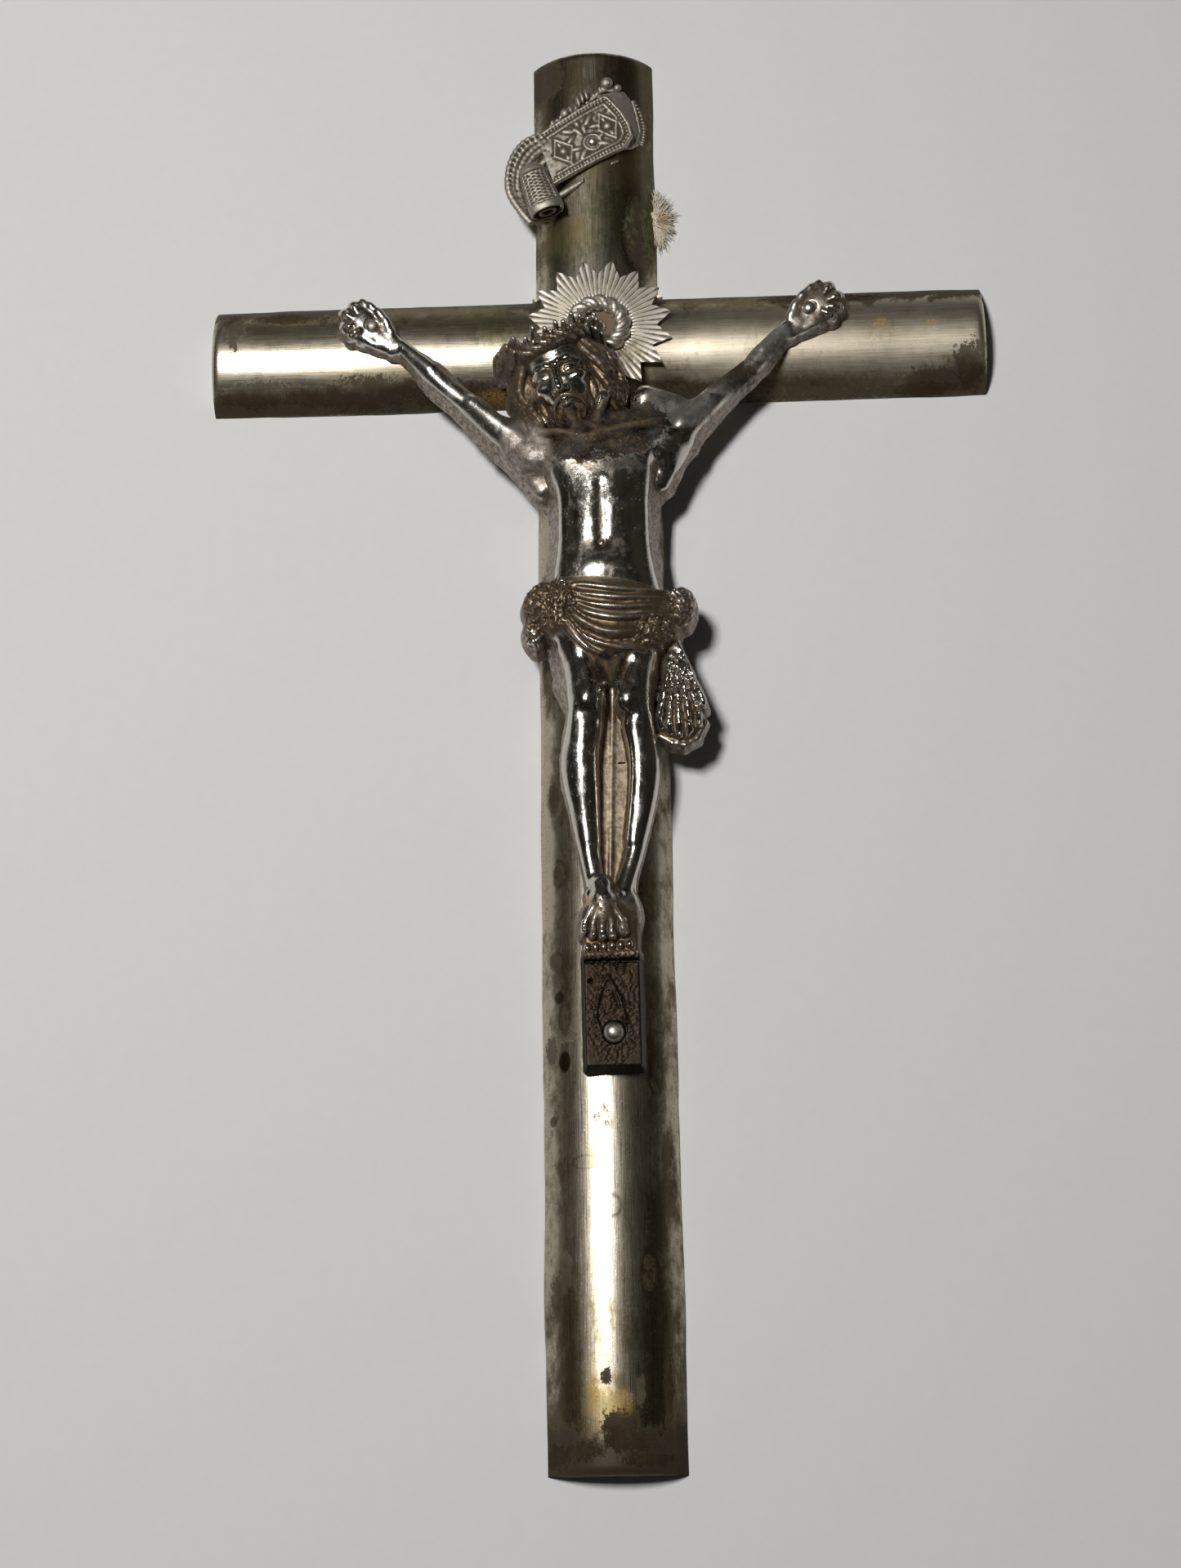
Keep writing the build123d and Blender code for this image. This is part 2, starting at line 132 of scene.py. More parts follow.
def blur(grid, reach):
    """Box blur by reach voxels along every axis."""
    for axis in range(3):
        total = np.cumsum(grid, axis=axis, dtype=np.float64)
        n = grid.shape[axis]
        high = np.minimum(np.arange(n) + reach, n - 1)
        low = np.arange(n) - reach - 1
        shape = [1, 1, 1]
        shape[axis] = n
        below = np.take(total, np.maximum(low, 0), axis=axis) * (low >= 0).reshape(shape)
        count = (high - np.maximum(low, -1)).reshape(shape)
        grid = ((np.take(total, high, axis=axis) - below) / count).astype(np.float32)
    return grid


def noise(x, z, depth, size, shift=0.0):
    """Smooth value noise in -1..1 with feature size in mm, for arrays that broadcast."""
    ends = []
    for along in (x, z, depth):
        u = along / size + 31.7 + shift
        i = np.floor(u).astype(int)
        f = (u - i).astype(np.float32)
        share = f * f * (3 - 2 * f)
        ends.append(((i % 64, 1 - share), ((i + 1) % 64, share)))
    out = 0.0
    for (xi, wx), (zi, wz), (di, wd) in product(*ends):
        out = out + LATTICE[xi, zi, di] * (wx * wz * wd)
    return out


def sample(grid, step, low, points):
    """Trilinear samples of a grid at points."""
    u = np.clip((points - low) / step, 0, np.array(grid.shape) - 1.001)
    i = u.astype(int)
    f = u - i
    shares = (1 - f, f)
    out = 0.0
    for a, b, c in CUBE:
        share = shares[a][:, 0] * shares[b][:, 1] * shares[c][:, 2]
        out = out + grid[i[:, 0] + a, i[:, 1] + b, i[:, 2] + c] * share
    return out


class Vol:
    """field: distance, negative inside; relief: patina (0 bare, 1 dark); wall: drafted walls.

    The primitives share these arguments: blend rounds the joint, relief is the patina given,
    cut takes the shape away, place is the local frame, flat squeezes a rod in depth.
    """

    def __init__(self, low, axes, step):
        self.low, self.axes, self.step = low, axes, step
        self.size = np.array([len(a) for a in axes])
        self.field = np.full(self.size, 50.0, np.float32)
        self.relief = np.zeros(self.size, np.float32)
        self.wall = None

    def grids(self):
        x, z, depth = self.axes
        return x[:, None, None], z[None, :, None], depth[None, None, :]

    def window(self, low, high):
        """Slices of the voxels between two corners and their coordinates, or None."""
        a = np.maximum(np.floor((np.array(low) - self.low) / self.step).astype(int), 0)
        b = np.ceil((np.array(high) - self.low) / self.step).astype(int) + 1
        b = np.minimum(b, self.size)
        if np.any(b - a < 1):
            return None
        part = tuple(slice(a[i], b[i]) for i in range(3))
        x, z, depth = (axis[s] for axis, s in zip(self.axes, part))
        return part, x[:, None, None], z[None, :, None], depth[None, None, :]

    def put(self, part, dist, blend, relief, cut=False):
        field = self.field[part]
        if relief is not None:
            if cut:
                share = 0.5 + (field + dist) / -0.5
            else:
                share = 0.5 + (field - dist) / (2 * max(blend * 0.5, 0.12))
            self.relief[part] += (relief - self.relief[part]) * np.clip(share, 0, 1)
        self.field[part] = -smin(-field, dist, blend) if cut else smin(field, dist, blend)

    def rod(self, start, end, r0, r1=None, blend=0.4, relief=0.0, flat=1.0, cut=False,
            place=HERE):
        """Rod from start to end, tapering from radius r0 to r1."""
        r1 = r0 if r1 is None else r1
        p, q, r0, r1 = place(start), place(end), r0 * place.scale, r1 * place.scale
        thick = max(r0, r1)
        grow = thick + blend + 2 * self.step + (6.0 if thick > 4 else 2.6 if thick > 1.2 else 0.5)
        found = self.window(np.minimum(p, q) - grow, np.maximum(p, q) + grow)
        if found is None:
            return
        part, x, z, depth = found
        v = q - p
        v = np.array([v[0], v[1], v[2] / flat])
        x, z, depth = x - p[0], z - p[1], (depth - p[2]) / flat
        t = np.clip((x * v[0] + z * v[1] + depth * v[2]) / max(v @ v, 1e-9), 0, 1)
        away = (x - t * v[0]) ** 2 + (z - t * v[1]) ** 2 + (depth - t * v[2]) ** 2
        dist = np.sqrt(away) - (r0 + (r1 - r0) * t)
        self.put(part, dist.astype(np.float32), blend, relief, cut)

    def rods(self, points, *args, **how):
        """Rods through (x, z, depth, radius) points."""
        for a, b in zip(points, points[1:]):
            self.rod(a[:3], b[:3], a[3], b[3], *args, **how)

    def line(self, points, *radii, **how):
        """Rods of the same one or two radii through (x, z, depth) points."""
        for a, b in zip(points, points[1:]):
            self.rod(a, b, *radii, **how)

    def strand(self, path, r0, r1, drop, **how):
        """Rods from radius r0 to r1, both thinner by drop from one rod to the next."""
        for j in range(len(path) - 1):
            self.rod(path[j], path[j + 1], r0 - drop * j, r1 - drop * j, **how)

    def local(self, centre, turn, x, z, depth):
        x, z, depth = x - centre[0], z - centre[1], depth - centre[2]
        return [turn[0, i] * x + turn[1, i] * z + turn[2, i] * depth for i in range(3)]

    def oval(self, centre, radii, blend=0.5, relief=0.0, roll=0.0, nod=0.0, cut=False,
             place=HERE):
        """Ellipsoid with radii (across, up, depth)."""
        centre = place(centre)
        turn = place.turn @ rot(roll, nod)
        r = np.array(radii, float) * place.scale
        reach = np.sqrt(((turn * r) ** 2).sum(1)) + blend + 2 * self.step
        reach = reach + (2.2 if r.max() > 1.6 else 0.4)
        found = self.window(centre - reach, centre + reach)
        if found is None:
            return
        part, *at = found
        unit = [v / r[i] for i, v in enumerate(self.local(centre, turn, *at))]
        k0 = np.sqrt(sum(v * v for v in unit))
        k1 = np.sqrt(sum((v / r[i]) ** 2 for i, v in enumerate(unit)))
        dist = k0 * (k0 - 1) / np.maximum(k1, 1e-6)
        self.put(part, dist.astype(np.float32), blend, relief, cut)

    def ovals(self, rows, **how):
        for row in rows:
            self.oval(*row, **how)

    def slab(self, centre, half, edge=0.3, blend=0.3, relief=0.0, roll=0.0, cut=False):
        """Box of half sizes (across, up, depth) with edges rounded by edge."""
        centre, half, turn = np.array(centre, float), np.array(half, float), rot(roll)
        reach = (np.abs(turn) * half).sum(1) + blend + 2 * self.step
        found = self.window(centre - reach, centre + reach)
        if found is None:
            return
        part, *at = found
        q = [np.abs(v) - (half[i] - edge) for i, v in enumerate(self.local(centre, turn, *at))]
        outside = np.sqrt(sum(np.maximum(v, 0) ** 2 for v in q))
        dist = outside + np.minimum(np.maximum(np.maximum(q[0], q[1]), q[2]), 0) - edge
        self.put(part, dist.astype(np.float32), blend, relief, cut)

    def limb(self, points, blend=0.9, relief=0.0, flat=1.0, samples=70, soft=0.5):
        """Smooth limb through (x, z, depth, radius) points, curved if samples is not 0.

        Its own joints are blurred out over soft before it is joined on.
        """
        path = curl(points, samples) if samples else np.array(points, float)
        reach = path[:, 3].max() + blend + 3.2
        found = self.window(path[:, :3].min(0) - reach, path[:, :3].max(0) + reach)
        if found is None:
            return
        part = found[0]
        axes = [axis[s] for axis, s in zip(self.axes, part)]
        own = Vol(np.array([a[0] for a in axes], float), axes, self.step)
        own.rods(path, 0.0, None, flat)
        if own.field.min() > 40:
            return
        near = np.minimum(own.field, 3.0)
        for _ in range(2):
            near = blur(near, max(1, int(round(soft / self.step))))
        dist = np.where(own.field > 3.0, own.field, near).astype(np.float32)
        self.put(part, dist, blend, relief)


def grid(low, high, step):
    """Empty volume between two corners."""
    low = np.array(low, float)
    count = np.maximum(np.ceil((np.array(high, float) - low) / step).astype(int) + 1, 4)
    axes = [(low[i] + step * np.arange(count[i])).astype(np.float32) for i in range(3)]
    return Vol(low, axes, step)


def nets(vol, whole=None):
    """Vertices, quads and unit normals of the surface. whole is the field before trimming."""
    field, step = vol.field, vol.step
    inside = field < 0
    count = np.zeros(tuple(np.array(field.shape) - 1), np.uint8)
    for corner in CUBE:
        count += inside[tuple(slice(c, n - 1 + c) for c, n in zip(corner, field.shape))]
    active = (count > 0) & (count < 8)
    cells = np.argwhere(active)
    index = np.full(active.shape, -1, np.int32)
    index[active] = np.arange(len(cells), dtype=np.int32)

    # one vertex per cell, at the mean of its edge crossings
    values = {c: field[tuple((cells + c).T)].astype(np.float64) for c in CUBE}
    total, crossings = np.zeros((len(cells), 3)), np.zeros(len(cells))
    for a in CUBE:
        for axis in range(3):
            if a[axis]:
                continue
            b = list(a)
            b[axis] = 1
            fa, fb = values[a], values[tuple(b)]
            crossed = (fa < 0) != (fb < 0)
            t = np.where(crossed, fa / np.where(crossed, fa - fb, 1), 0)
            p = np.array(a, float)[None, :] + np.eye(3)[axis][None, :] * t[:, None]
            total += p * crossed[:, None]
            crossings += crossed
    points = vol.low + (cells + total / crossings[:, None]) * step

    # one quad round every crossed grid edge
    quads = []
    for axis in range(3):
        others = [i for i in range(3) if i != axis]
        here, there = [slice(1, -1)] * 3, [slice(1, -1)] * 3
        here[axis], there[axis] = slice(0, -1), slice(1, None)
        first = inside[tuple(here)]
        cross = np.argwhere(first != inside[tuple(there)])
        leaving = first[tuple(cross.T)]
        for i in others:
            cross[:, i] += 1
        u, v = others if axis != 1 else others[::-1]
        around = []
        for du, dv in ((-1, -1), (0, -1), (0, 0), (-1, 0)):
            c = cross.copy()
            if axis == 0:
                pass
            c[:, u] += du
            c[:, v] += dv
            around.append(index[tuple(c.T)])
        quad = np.stack(around, 1)
        quad[~leaving] = quad[~leaving][:, ::-1]
        quads.append(quad)
    quads = np.vstack(quads)
    quads = quads[(quads >= 0).all(1)]

    def gradient(grid_, at):
        reach = 0.75 * step
        out = []
        for d in np.eye(3) * reach:
            ahead = sample(grid_, step, vol.low, at + d)
            out.append((ahead - sample(grid_, step, vol.low, at - d)) / (2 * reach))
        return np.stack(out, 1)

    def unit_gradient(grid_, at):
        g = gradient(grid_, at)
        return g / np.maximum(np.linalg.norm(g, axis=1), 1e-9)[:, None]

    def settle(grid_, on, reach):
        """Moves the chosen points onto the surface, at most reach voxels at a time."""
        for _ in range(2):
            g = gradient(grid_, points[on])
            f = sample(grid_, step, vol.low, points[on])
            move = g * (f / np.maximum((g * g).sum(1), 0.05))[:, None]
            length = np.linalg.norm(move, axis=1)
            move *= np.minimum(1, reach * step / np.maximum(length, 1e-9))[:, None]
            points[on] -= move

    settle(field, np.ones(len(points), bool), 0.35)
    normals = unit_gradient(field, points)
    if whole is not None:
        on = np.abs(sample(whole, step, vol.low, points)) < 0.8 * step
        settle(whole, on, 0.5)
        normals[on] = unit_gradient(whole, points[on])
    return points, quads, normals


def link_object(name, mesh):
    ob = bpy.data.objects.new(name, mesh)
    bpy.context.scene.collection.objects.link(ob)
    return ob


def mesh_object(name, verts, faces, normals=None, attrs=None, smooth=True):
    """Mesh from arrays: verts in metres, faces of one size."""
    verts = np.asarray(verts, np.float32)
    faces = np.asarray(faces, np.int32)
    me = bpy.data.meshes.new(name)
    me.vertices.add(len(verts))
    me.vertices.foreach_set("co", verts.ravel())
    me.loops.add(faces.size)
    me.loops.foreach_set("vertex_index", faces.ravel())
    me.polygons.add(len(faces))
    starts = np.arange(0, faces.size, faces.shape[1], dtype=np.int32)
    me.polygons.foreach_set("loop_start", starts)
    me.update(calc_edges=True)
    me.validate()
    me.polygons.foreach_set("use_smooth", np.full(len(me.polygons), smooth))
    for key, values in (attrs or {}).items():
        attribute = me.attributes.new(key, "FLOAT", "POINT")
        attribute.data.foreach_set("value", np.asarray(values, np.float32))
    if normals is not None:
        me.normals_split_custom_set_from_vertices([tuple(n) for n in normals])
    return link_object(name, me)


def sculpted(name, vol, fine=0.45, wide=1.6, whole=None):
    """Mesh object of a volume with patina attributes.

    relief; cav and cavw, the mean distance within fine and wide, above 0 on ridges; wall.
    """
    points, quads, normals = nets(vol, whole)
    near = np.clip(vol.field if whole is None else whole, -wide, wide)

    def at(values):
        return sample(values, vol.step, vol.low, points)

    attrs = {
        "relief": at(vol.relief),
        "cav": at(blur(near, max(1, round(fine / vol.step)))) / fine,
        "cavw": at(blur(near, max(2, round(wide / vol.step)))) / wide,
        "wall": np.zeros(len(points)) if vol.wall is None else at(vol.wall),
    }
    world = np.stack([points[:, 0], -(CROWN + points[:, 2]), points[:, 1]], 1) * 0.001
    normals = np.stack([normals[:, 0], -normals[:, 2], normals[:, 1]], 1)
    return mesh_object(name, world, quads, normals, attrs)


def register(ob, part):
    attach(ob, "cross")
    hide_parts(part)


# =================================================================================================
# The figure. Points are (x, z, depth) or (x, z, depth, radius); left and right are the viewer's.
# =================================================================================================
SKIN, FACE, CLOTH, HAIR, DARK = 0.0, 0.12, 0.8, 0.95, 1.0      # patina of each stuff
# head's own frame: x right, z up, depth forward; eye line at z = 0
HEAD = {side: Place((-6.7, -12, 6.1), rot(20, 12, -16), 1.10, side) for side in (1, -1)}


def trunk_form(vol):
    vol.limb([(-0.4, -25, 4.6, 9.2), (0.2, -29, 5.4, 10.4), (0.7, -33, 5.8, 9.6),
              (0.9, -38, 5.8, 8.9), (0.9, -44, 5.5, 8.8), (0.9, -49, 5.3, 9), (0.9, -55, 5.2, 9.8),
              (1.1, -61, 5, 10.8), (1.3, -66, 4.6, 10.2)], 1.2, SKIN, flat=0.42, samples=60)
    # chest and abdomen with its midline, flanks and navel
    vol.ovals([((-4.6, -28.6, 7.2), (4.8, 3, 2.2), 1.8, SKIN, 14),
               ((5.6, -28.2, 7.2), (4.8, 3, 2.2), 1.8, SKIN, -14),
               ((-1.7, -41.2, 6.9), (2.5, 8.2, 2.2), 1.8, SKIN, -2),
               ((2.9, -41.2, 6.9), (2.6, 8.4, 2.3), 1.8, SKIN, 2)])
    vol.rod((0.5, -36.6, 10.3), (0.7, -47.4, 9.9), 0.5, 0.4, 1.6, cut=True)
    vol.ovals([((-6.4, -44.8, 9.1), (1.4, 4.4, 0.7), 1.8, SKIN, -6),
               ((8, -44.8, 8.9), (1.3, 4.4, 0.7), 1.8, SKIN, 6)], cut=True)
    vol.oval((0.8, -52.6, 6.3), (6, 4.2, 3.2), 2)
    vol.oval((0.6, -48.5, 9.4), (1, 0.9, 0.8), 0.7, 0.35, cut=True)
    vol.oval((0.6, -48.5, 8.5), (0.6, 0.6, 0.55), 0.2, 0.5)
    # collar bones with the hollows round them, neck
    for bone in ([(-12, -23.6, 6.6, 1), (-7.6, -24.9, 8.7, 0.95), (-2.6, -26.2, 9.1, 0.9)],
                 [(12, -22.6, 6.6, 1), (6.4, -24.1, 8.7, 0.95), (-0.6, -26, 9.1, 0.9)]):
        vol.limb(bone, 1.3, 0.3, samples=24, soft=0.25)
    vol.oval((-1.6, -24.6, 9.7), (1.5, 1.3, 1.6), 0.8, 0.9, cut=True)
    vol.rod((-9.8, -22.2, 9), (-4.9, -22.8, 9.8), 1.3, 1.1, 1.4, 0.8, cut=True)
    vol.rod((8.8, -21, 9), (3.2, -22, 9.8), 1.3, 1.1, 1.4, 0.8, cut=True)
    vol.rod((-1.6, -25.6, 4.6), (-4.6, -17.5, 5.4), 4.6, 4, 1.8, 0.3)
    vol.rod((-2.6, -25.8, 8.4), (-7.6, -17.8, 8.8), 1, 1.1, 0.9, 0.3)
    vol.rod((-0.9, -25.8, 8.4), (1.6, -17.4, 8.3), 1, 1.2, 0.9, 0.3)


def arms_form(vol):
    # left shoulder and arm
    vol.oval((-12, -27.2, 3.8), (4.2, 4.2, 3.6), 2.4, 0.1, 35)
    vol.limb([(-12.5, -28.2, 3.4, 3.6), (-17, -24.4, 3.1, 3), (-21.6, -19.9, 2.9, 2.7),
              (-26.2, -15.2, 2.7, 2.25), (-30, -11.7, 2.6, 2.15), (-32.8, -8.8, 2.5, 2.25),
              (-35.6, -5.9, 2.3, 2), (-38.8, -2.6, 2, 1.6), (-41.2, -0.2, 1.8, 1.45)], 1)
    vol.rod((-16, -23.9, 5.3), (-24.6, -15.9, 4.2), 1.2, 0.9, 1.6)
    vol.rod((-33.2, -7.8, 3.7), (-39, -2, 2.8), 0.9, 0.5, 1.2)
    # right shoulder and arm
    vol.oval((12.4, -26.2, 3.8), (4.2, 4.2, 3.6), 2.4, 0.25, -35)
    vol.limb([(12.4, -27, 3.4, 3.6), (17, -22.4, 3.1, 3), (21.6, -17.6, 2.9, 2.7),
              (26.4, -13, 2.7, 2.25), (30.2, -9.8, 2.6, 2.15), (32.8, -7, 2.5, 2.25),
              (35.2, -4.3, 2.3, 2), (37.6, -1.3, 2, 1.6), (39.4, 0.7, 1.8, 1.45)], 1, 0.12)
    vol.rod((16.6, -21.8, 5.3), (25, -13.8, 4.2), 1.2, 0.9, 1.6, 0.2)
    vol.rod((33.2, -6, 3.7), (38, -0.4, 2.8), 0.9, 0.5, 1.2)
    # webs above and under the arms
    vol.rod((-17.5, -21.6, 2.4), (-11.5, -21, 3), 2.4, 3, 2.2, 0.15)
    vol.rod((15, -20.4, 2.6), (8.5, -20.6, 3), 1.8, 2.6, 2, 0.3)
    vol.rod((15.8, -17.3, 2.2), (9.8, -16, 2.6), 2.5, 3.2, 2, 0.3)
    vol.rod((-11, -34.5, 2), (-17, -27.4, 2), 2.2, 1.5, 2.8)
    vol.rod((12, -33.5, 2), (17, -25.6, 2), 2.2, 1.5, 2.8)


def legs_form(vol):
    left = [(-3.9, -62, 3, 5.2), (-3.8, -67, 2.7, 4.6), (-3.4, -72.5, 3.9, 4.1),
            (-3.1, -77.5, 5.4, 3.6), (-3.2, -81.5, 5.6, 3.2), (-3.8, -86, 4.2, 3.3),
            (-4.5, -91.5, 3.5, 3.3), (-4.2, -97, 3.1, 2.9), (-3.7, -103, 2.7, 2.4),
            (-2.8, -109, 2.5, 2.1), (-2, -114.5, 2.9, 1.85), (-0.8, -119.5, 3.6, 2.1)]
    right = [(7, -63, 2.8, 5), (6.8, -67.5, 2.6, 4.4), (6.5, -72.5, 3.6, 3.9),
             (6.3, -77.5, 4.9, 3.2), (6.8, -81.5, 4.9, 2.6), (7.7, -86, 3.5, 2.5),
             (8.3, -91.5, 2.8, 2.5), (7.9, -97, 2.4, 2.3), (6.8, -103, 2, 2),
             (5.4, -109, 1.9, 1.8), (3.8, -114.5, 2.4, 1.75), (2.2, -119.5, 2.8, 2)]
    vol.limb(left, 0.9, samples=100)
    vol.limb(right, 0.9, samples=100)
    # knees
    for x, z, depth in ((-2.5, -79.6, 7.6), (4.9, -79.8, 6.9)):
        vol.oval((x, z, depth), (1.9, 2.4, 1.8), 1.2)
        vol.oval((x - 1.5, z + 8.4, depth - 3), (1.8, 4.6, 1.5), 1.8, roll=6, nod=30)
        vol.oval((x + 0.2, z - 3.6, depth + 1.6), (2.6, 1, 0.8), 1.4, cut=True)
    # shins and calf
    vol.limb([(-3.1, -84.5, 5.2, 2), (-3.5, -89, 5, 2.1), (-3.3, -94, 4.5, 2.1),
              (-2.9, -100, 3.4, 1.8), (-2.6, -106, 2.6, 1.5)], 2)
    vol.limb([(5.6, -84.5, 4.7, 1.5), (6.4, -89, 4.5, 1.5), (6.5, -94, 3.9, 1.5),
              (5.9, -100, 2.9, 1.4), (5.1, -106, 2.3, 1.1)], 2)
    vol.oval((-5.6, -92.5, 3.6), (1.7, 6, 1.8), 1.6, roll=3)
    # web between the legs with the mould's ridge
    vol.slab((1.7, -96, 0.6), (3.9, 24, 1.4), 0.3, 0.8, 0.35)
    vol.rods([(2.1, -74.5, 3.4, 0.8), (1.9, -82, 1.9, 0.4), (1.6, -90, 1.7, 0.35),
              (1.2, -104, 1.8, 0.3), (0.9, -114, 2.1, 0.35)], 0.5, 0.5)
    # groin
    vol.oval((1.9, -71.2, 4.9), (2.9, 3.4, 2.6), 1.4, 0.3)
    vol.rod((-2.2, -70.5, 8.6), (1, -77, 6.4), 0.6, 0.6, 1.4, 0.3, cut=True)
    vol.rod((5.4, -70.5, 8.4), (2.9, -77, 6.4), 0.6, 0.6, 1.4, 0.3, cut=True)


def body_form(vol):
    trunk_form(vol)
    arms_form(vol)
    legs_form(vol)


def feet_form(vol):
    # upper foot, toes down, over the lower foot
    vol.oval((-0.1, -121.4, 4.5), (4.5, 4.6, 2.3), 1, 0.5, 4)
    vol.rods([(-0.7, -115.5, 4.6, 1.9), (-0.6, -118.6, 5.3, 1.9), (-0.4, -121, 5.2, 2)], 1.2, 0.15)
    vol.oval((2.6, -117.6, 4.6), (0.9, 1.1, 0.9), 0.7, 0.2)
    vol.oval((-3, -117.2, 4.4), (0.8, 1.1, 0.9), 0.7, 0.2)
    # toes: x, z of the tip, radius
    toes = ((-3.9, -124.5, 0.76), (-2.35, -125.3, 0.80), (-0.65, -125.7, 0.84),
            (1.15, -125.6, 0.88), (3.15, -124.9, 1.05))
    for x, tip, r in toes:
        vol.rod((x * 0.55 - 0.2, -119.8, 6.4), (x * 0.95, -122.8, 6.3), 0.36, 0.44, 0.5, 0.2)
        vol.rod((x, -122.8, 5.9), (x, tip + 0.9, 6.1), r * 0.84, r * 0.92, 0.22, 0.42)
        vol.oval((x, tip + 0.35, 5.9), (r, 0.85, r * 1.05), 0.12, 0.25)
        vol.oval((x, tip + 0.1, 6.75), (r * 0.5, 0.36, 0.2), 0.08, 0.5, cut=True)
    for (xa, za, _), (xb, zb, _) in zip(toes, toes[1:]):
        mid = (xa + xb) / 2
        vol.rod((mid, -122.4, 6.6), (mid, min(za, zb) - 0.3, 6.2), 0.15, 0.26, 0.2, 0.9, cut=True)
    # lower foot: its side at the right, its row of toes below
    vol.oval((4.1, -121.6, 2.9), (2.4, 5.4, 2.4), 0.9, 0.5, -3)
    vol.slab((0.9, -126.5, 2.2), (5, 1.9, 2), 0.6, 0.8, 0.8)
    for i, x in enumerate((-3.5, -2, -0.5, 1.1, 2.7, 4.3)):
        vol.oval((x, -127.4 + 0.12 * i, 4), (0.74, 0.95, 1), 0.12, 0.45)
    # ledge and block
    vol.slab((1, -128.9, 2), (5.2, 0.8, 3.1), 0.35, 0.3, DARK, 2)
    vol.slab((1, -139.4, 1.2), (5.15, 10.1, 3.75), 0.35, 0.25, DARK, 0.4)
    vol.slab((1, -130, 4.7), (5.1, 0.35, 0.5), 0.15, 0.15, DARK, cut=True)
    # drop-shaped outline on the block, with an oval, a pit and the rivet's seat
    vol.rods([(0.2, -132.8, 4.85, 0.3), (-1.6, -136.8, 4.85, 0.3), (-2.2, -140.2, 4.85, 0.3),
              (-1.3, -143.4, 4.85, 0.25)], 0.3, DARK)
    vol.rods([(0.2, -132.8, 4.85, 0.3), (2.2, -136.8, 4.85, 0.3), (3.2, -140.4, 4.85, 0.3),
              (3.1, -143.4, 4.85, 0.25)], 0.3, DARK)
    vol.oval((0.6, -136.8, 4.5), (1.2, 3, 0.6), 0.4, DARK)
    vol.rod((-3, -133.7, 5.6), (-3, -133.7, 4.3), 0.5, 0.4, 0.2, DARK, cut=True)
    vol.rod((1.1, -143.3, 5.6), (1.1, -143.3, 5), 2.2, 2.2, 0.15, DARK, cut=True)


# folds across the loincloth: points, radius
FOLDS = [
    ([(-8.6, -57, 8), (-3.5, -57.2, 9.1), (1.5, -58.2, 9.8), (7, -58.6, 9.2), (13.2, -58.2, 7)],
     0.55),
    ([(-6, -58.6, 8.6), (-2, -59.4, 9.6), (3.5, -60.3, 10), (8.5, -60.2, 9.2), (13.4, -59.8, 7)],
     0.5),
    ([(-5.4, -59.6, 8.9), (-1.5, -61.4, 9.8), (4, -62.2, 10), (9, -61.8, 9), (13.4, -61.2, 6.9)],
     0.5),
    ([(-5.6, -60.6, 8.8), (-2.4, -63, 9.6), (3, -64.4, 10), (8.6, -63.8, 8.9),
      (13.2, -62.6, 6.8)], 0.6),
    ([(-6.2, -61.4, 8.7), (-3.6, -64.4, 9.3), (0.8, -67, 9.8), (6, -67, 9.2), (11, -65.6, 7.6)],
     0.75),
    ([(-6.8, -62.4, 8.4), (-4.6, -65.6, 8.9), (-1.4, -68.4, 9.1), (3.4, -70, 8.9),
      (8, -69.6, 7.8)], 0.6),
    ([(-7.4, -63.2, 8), (-5.4, -66.4, 8.4), (-2.6, -69.6, 8.4), (1.2, -71.6, 8.2)], 0.5),
    ([(-9.4, -55.9, 7.4), (-3, -56.2, 8.7), (3, -57.4, 9.4), (9, -57.8, 8.4)], 0.3),
]
GROOVES = [
    [(-5, -59, 9.6), (-1.8, -60.4, 10.3), (3.6, -61.2, 10.6), (9, -61, 9.6)],
    [(-5.4, -61.2, 9.5), (-3, -63.8, 9.8), (2, -65.8, 10.5), (7.5, -65.4, 9.4)],
    [(-6, -63.2, 9), (-3.4, -66.6, 9.4), (1, -68.7, 9.6), (6, -68.4, 9)],
]
# x and z of the lower ends of the tail's pleats
PLEATS = ((11.2, -85.4), (12.9, -86.6), (14.7, -87.2), (16.6, -86.6), (18.4, -85), (19.3, -81.4))


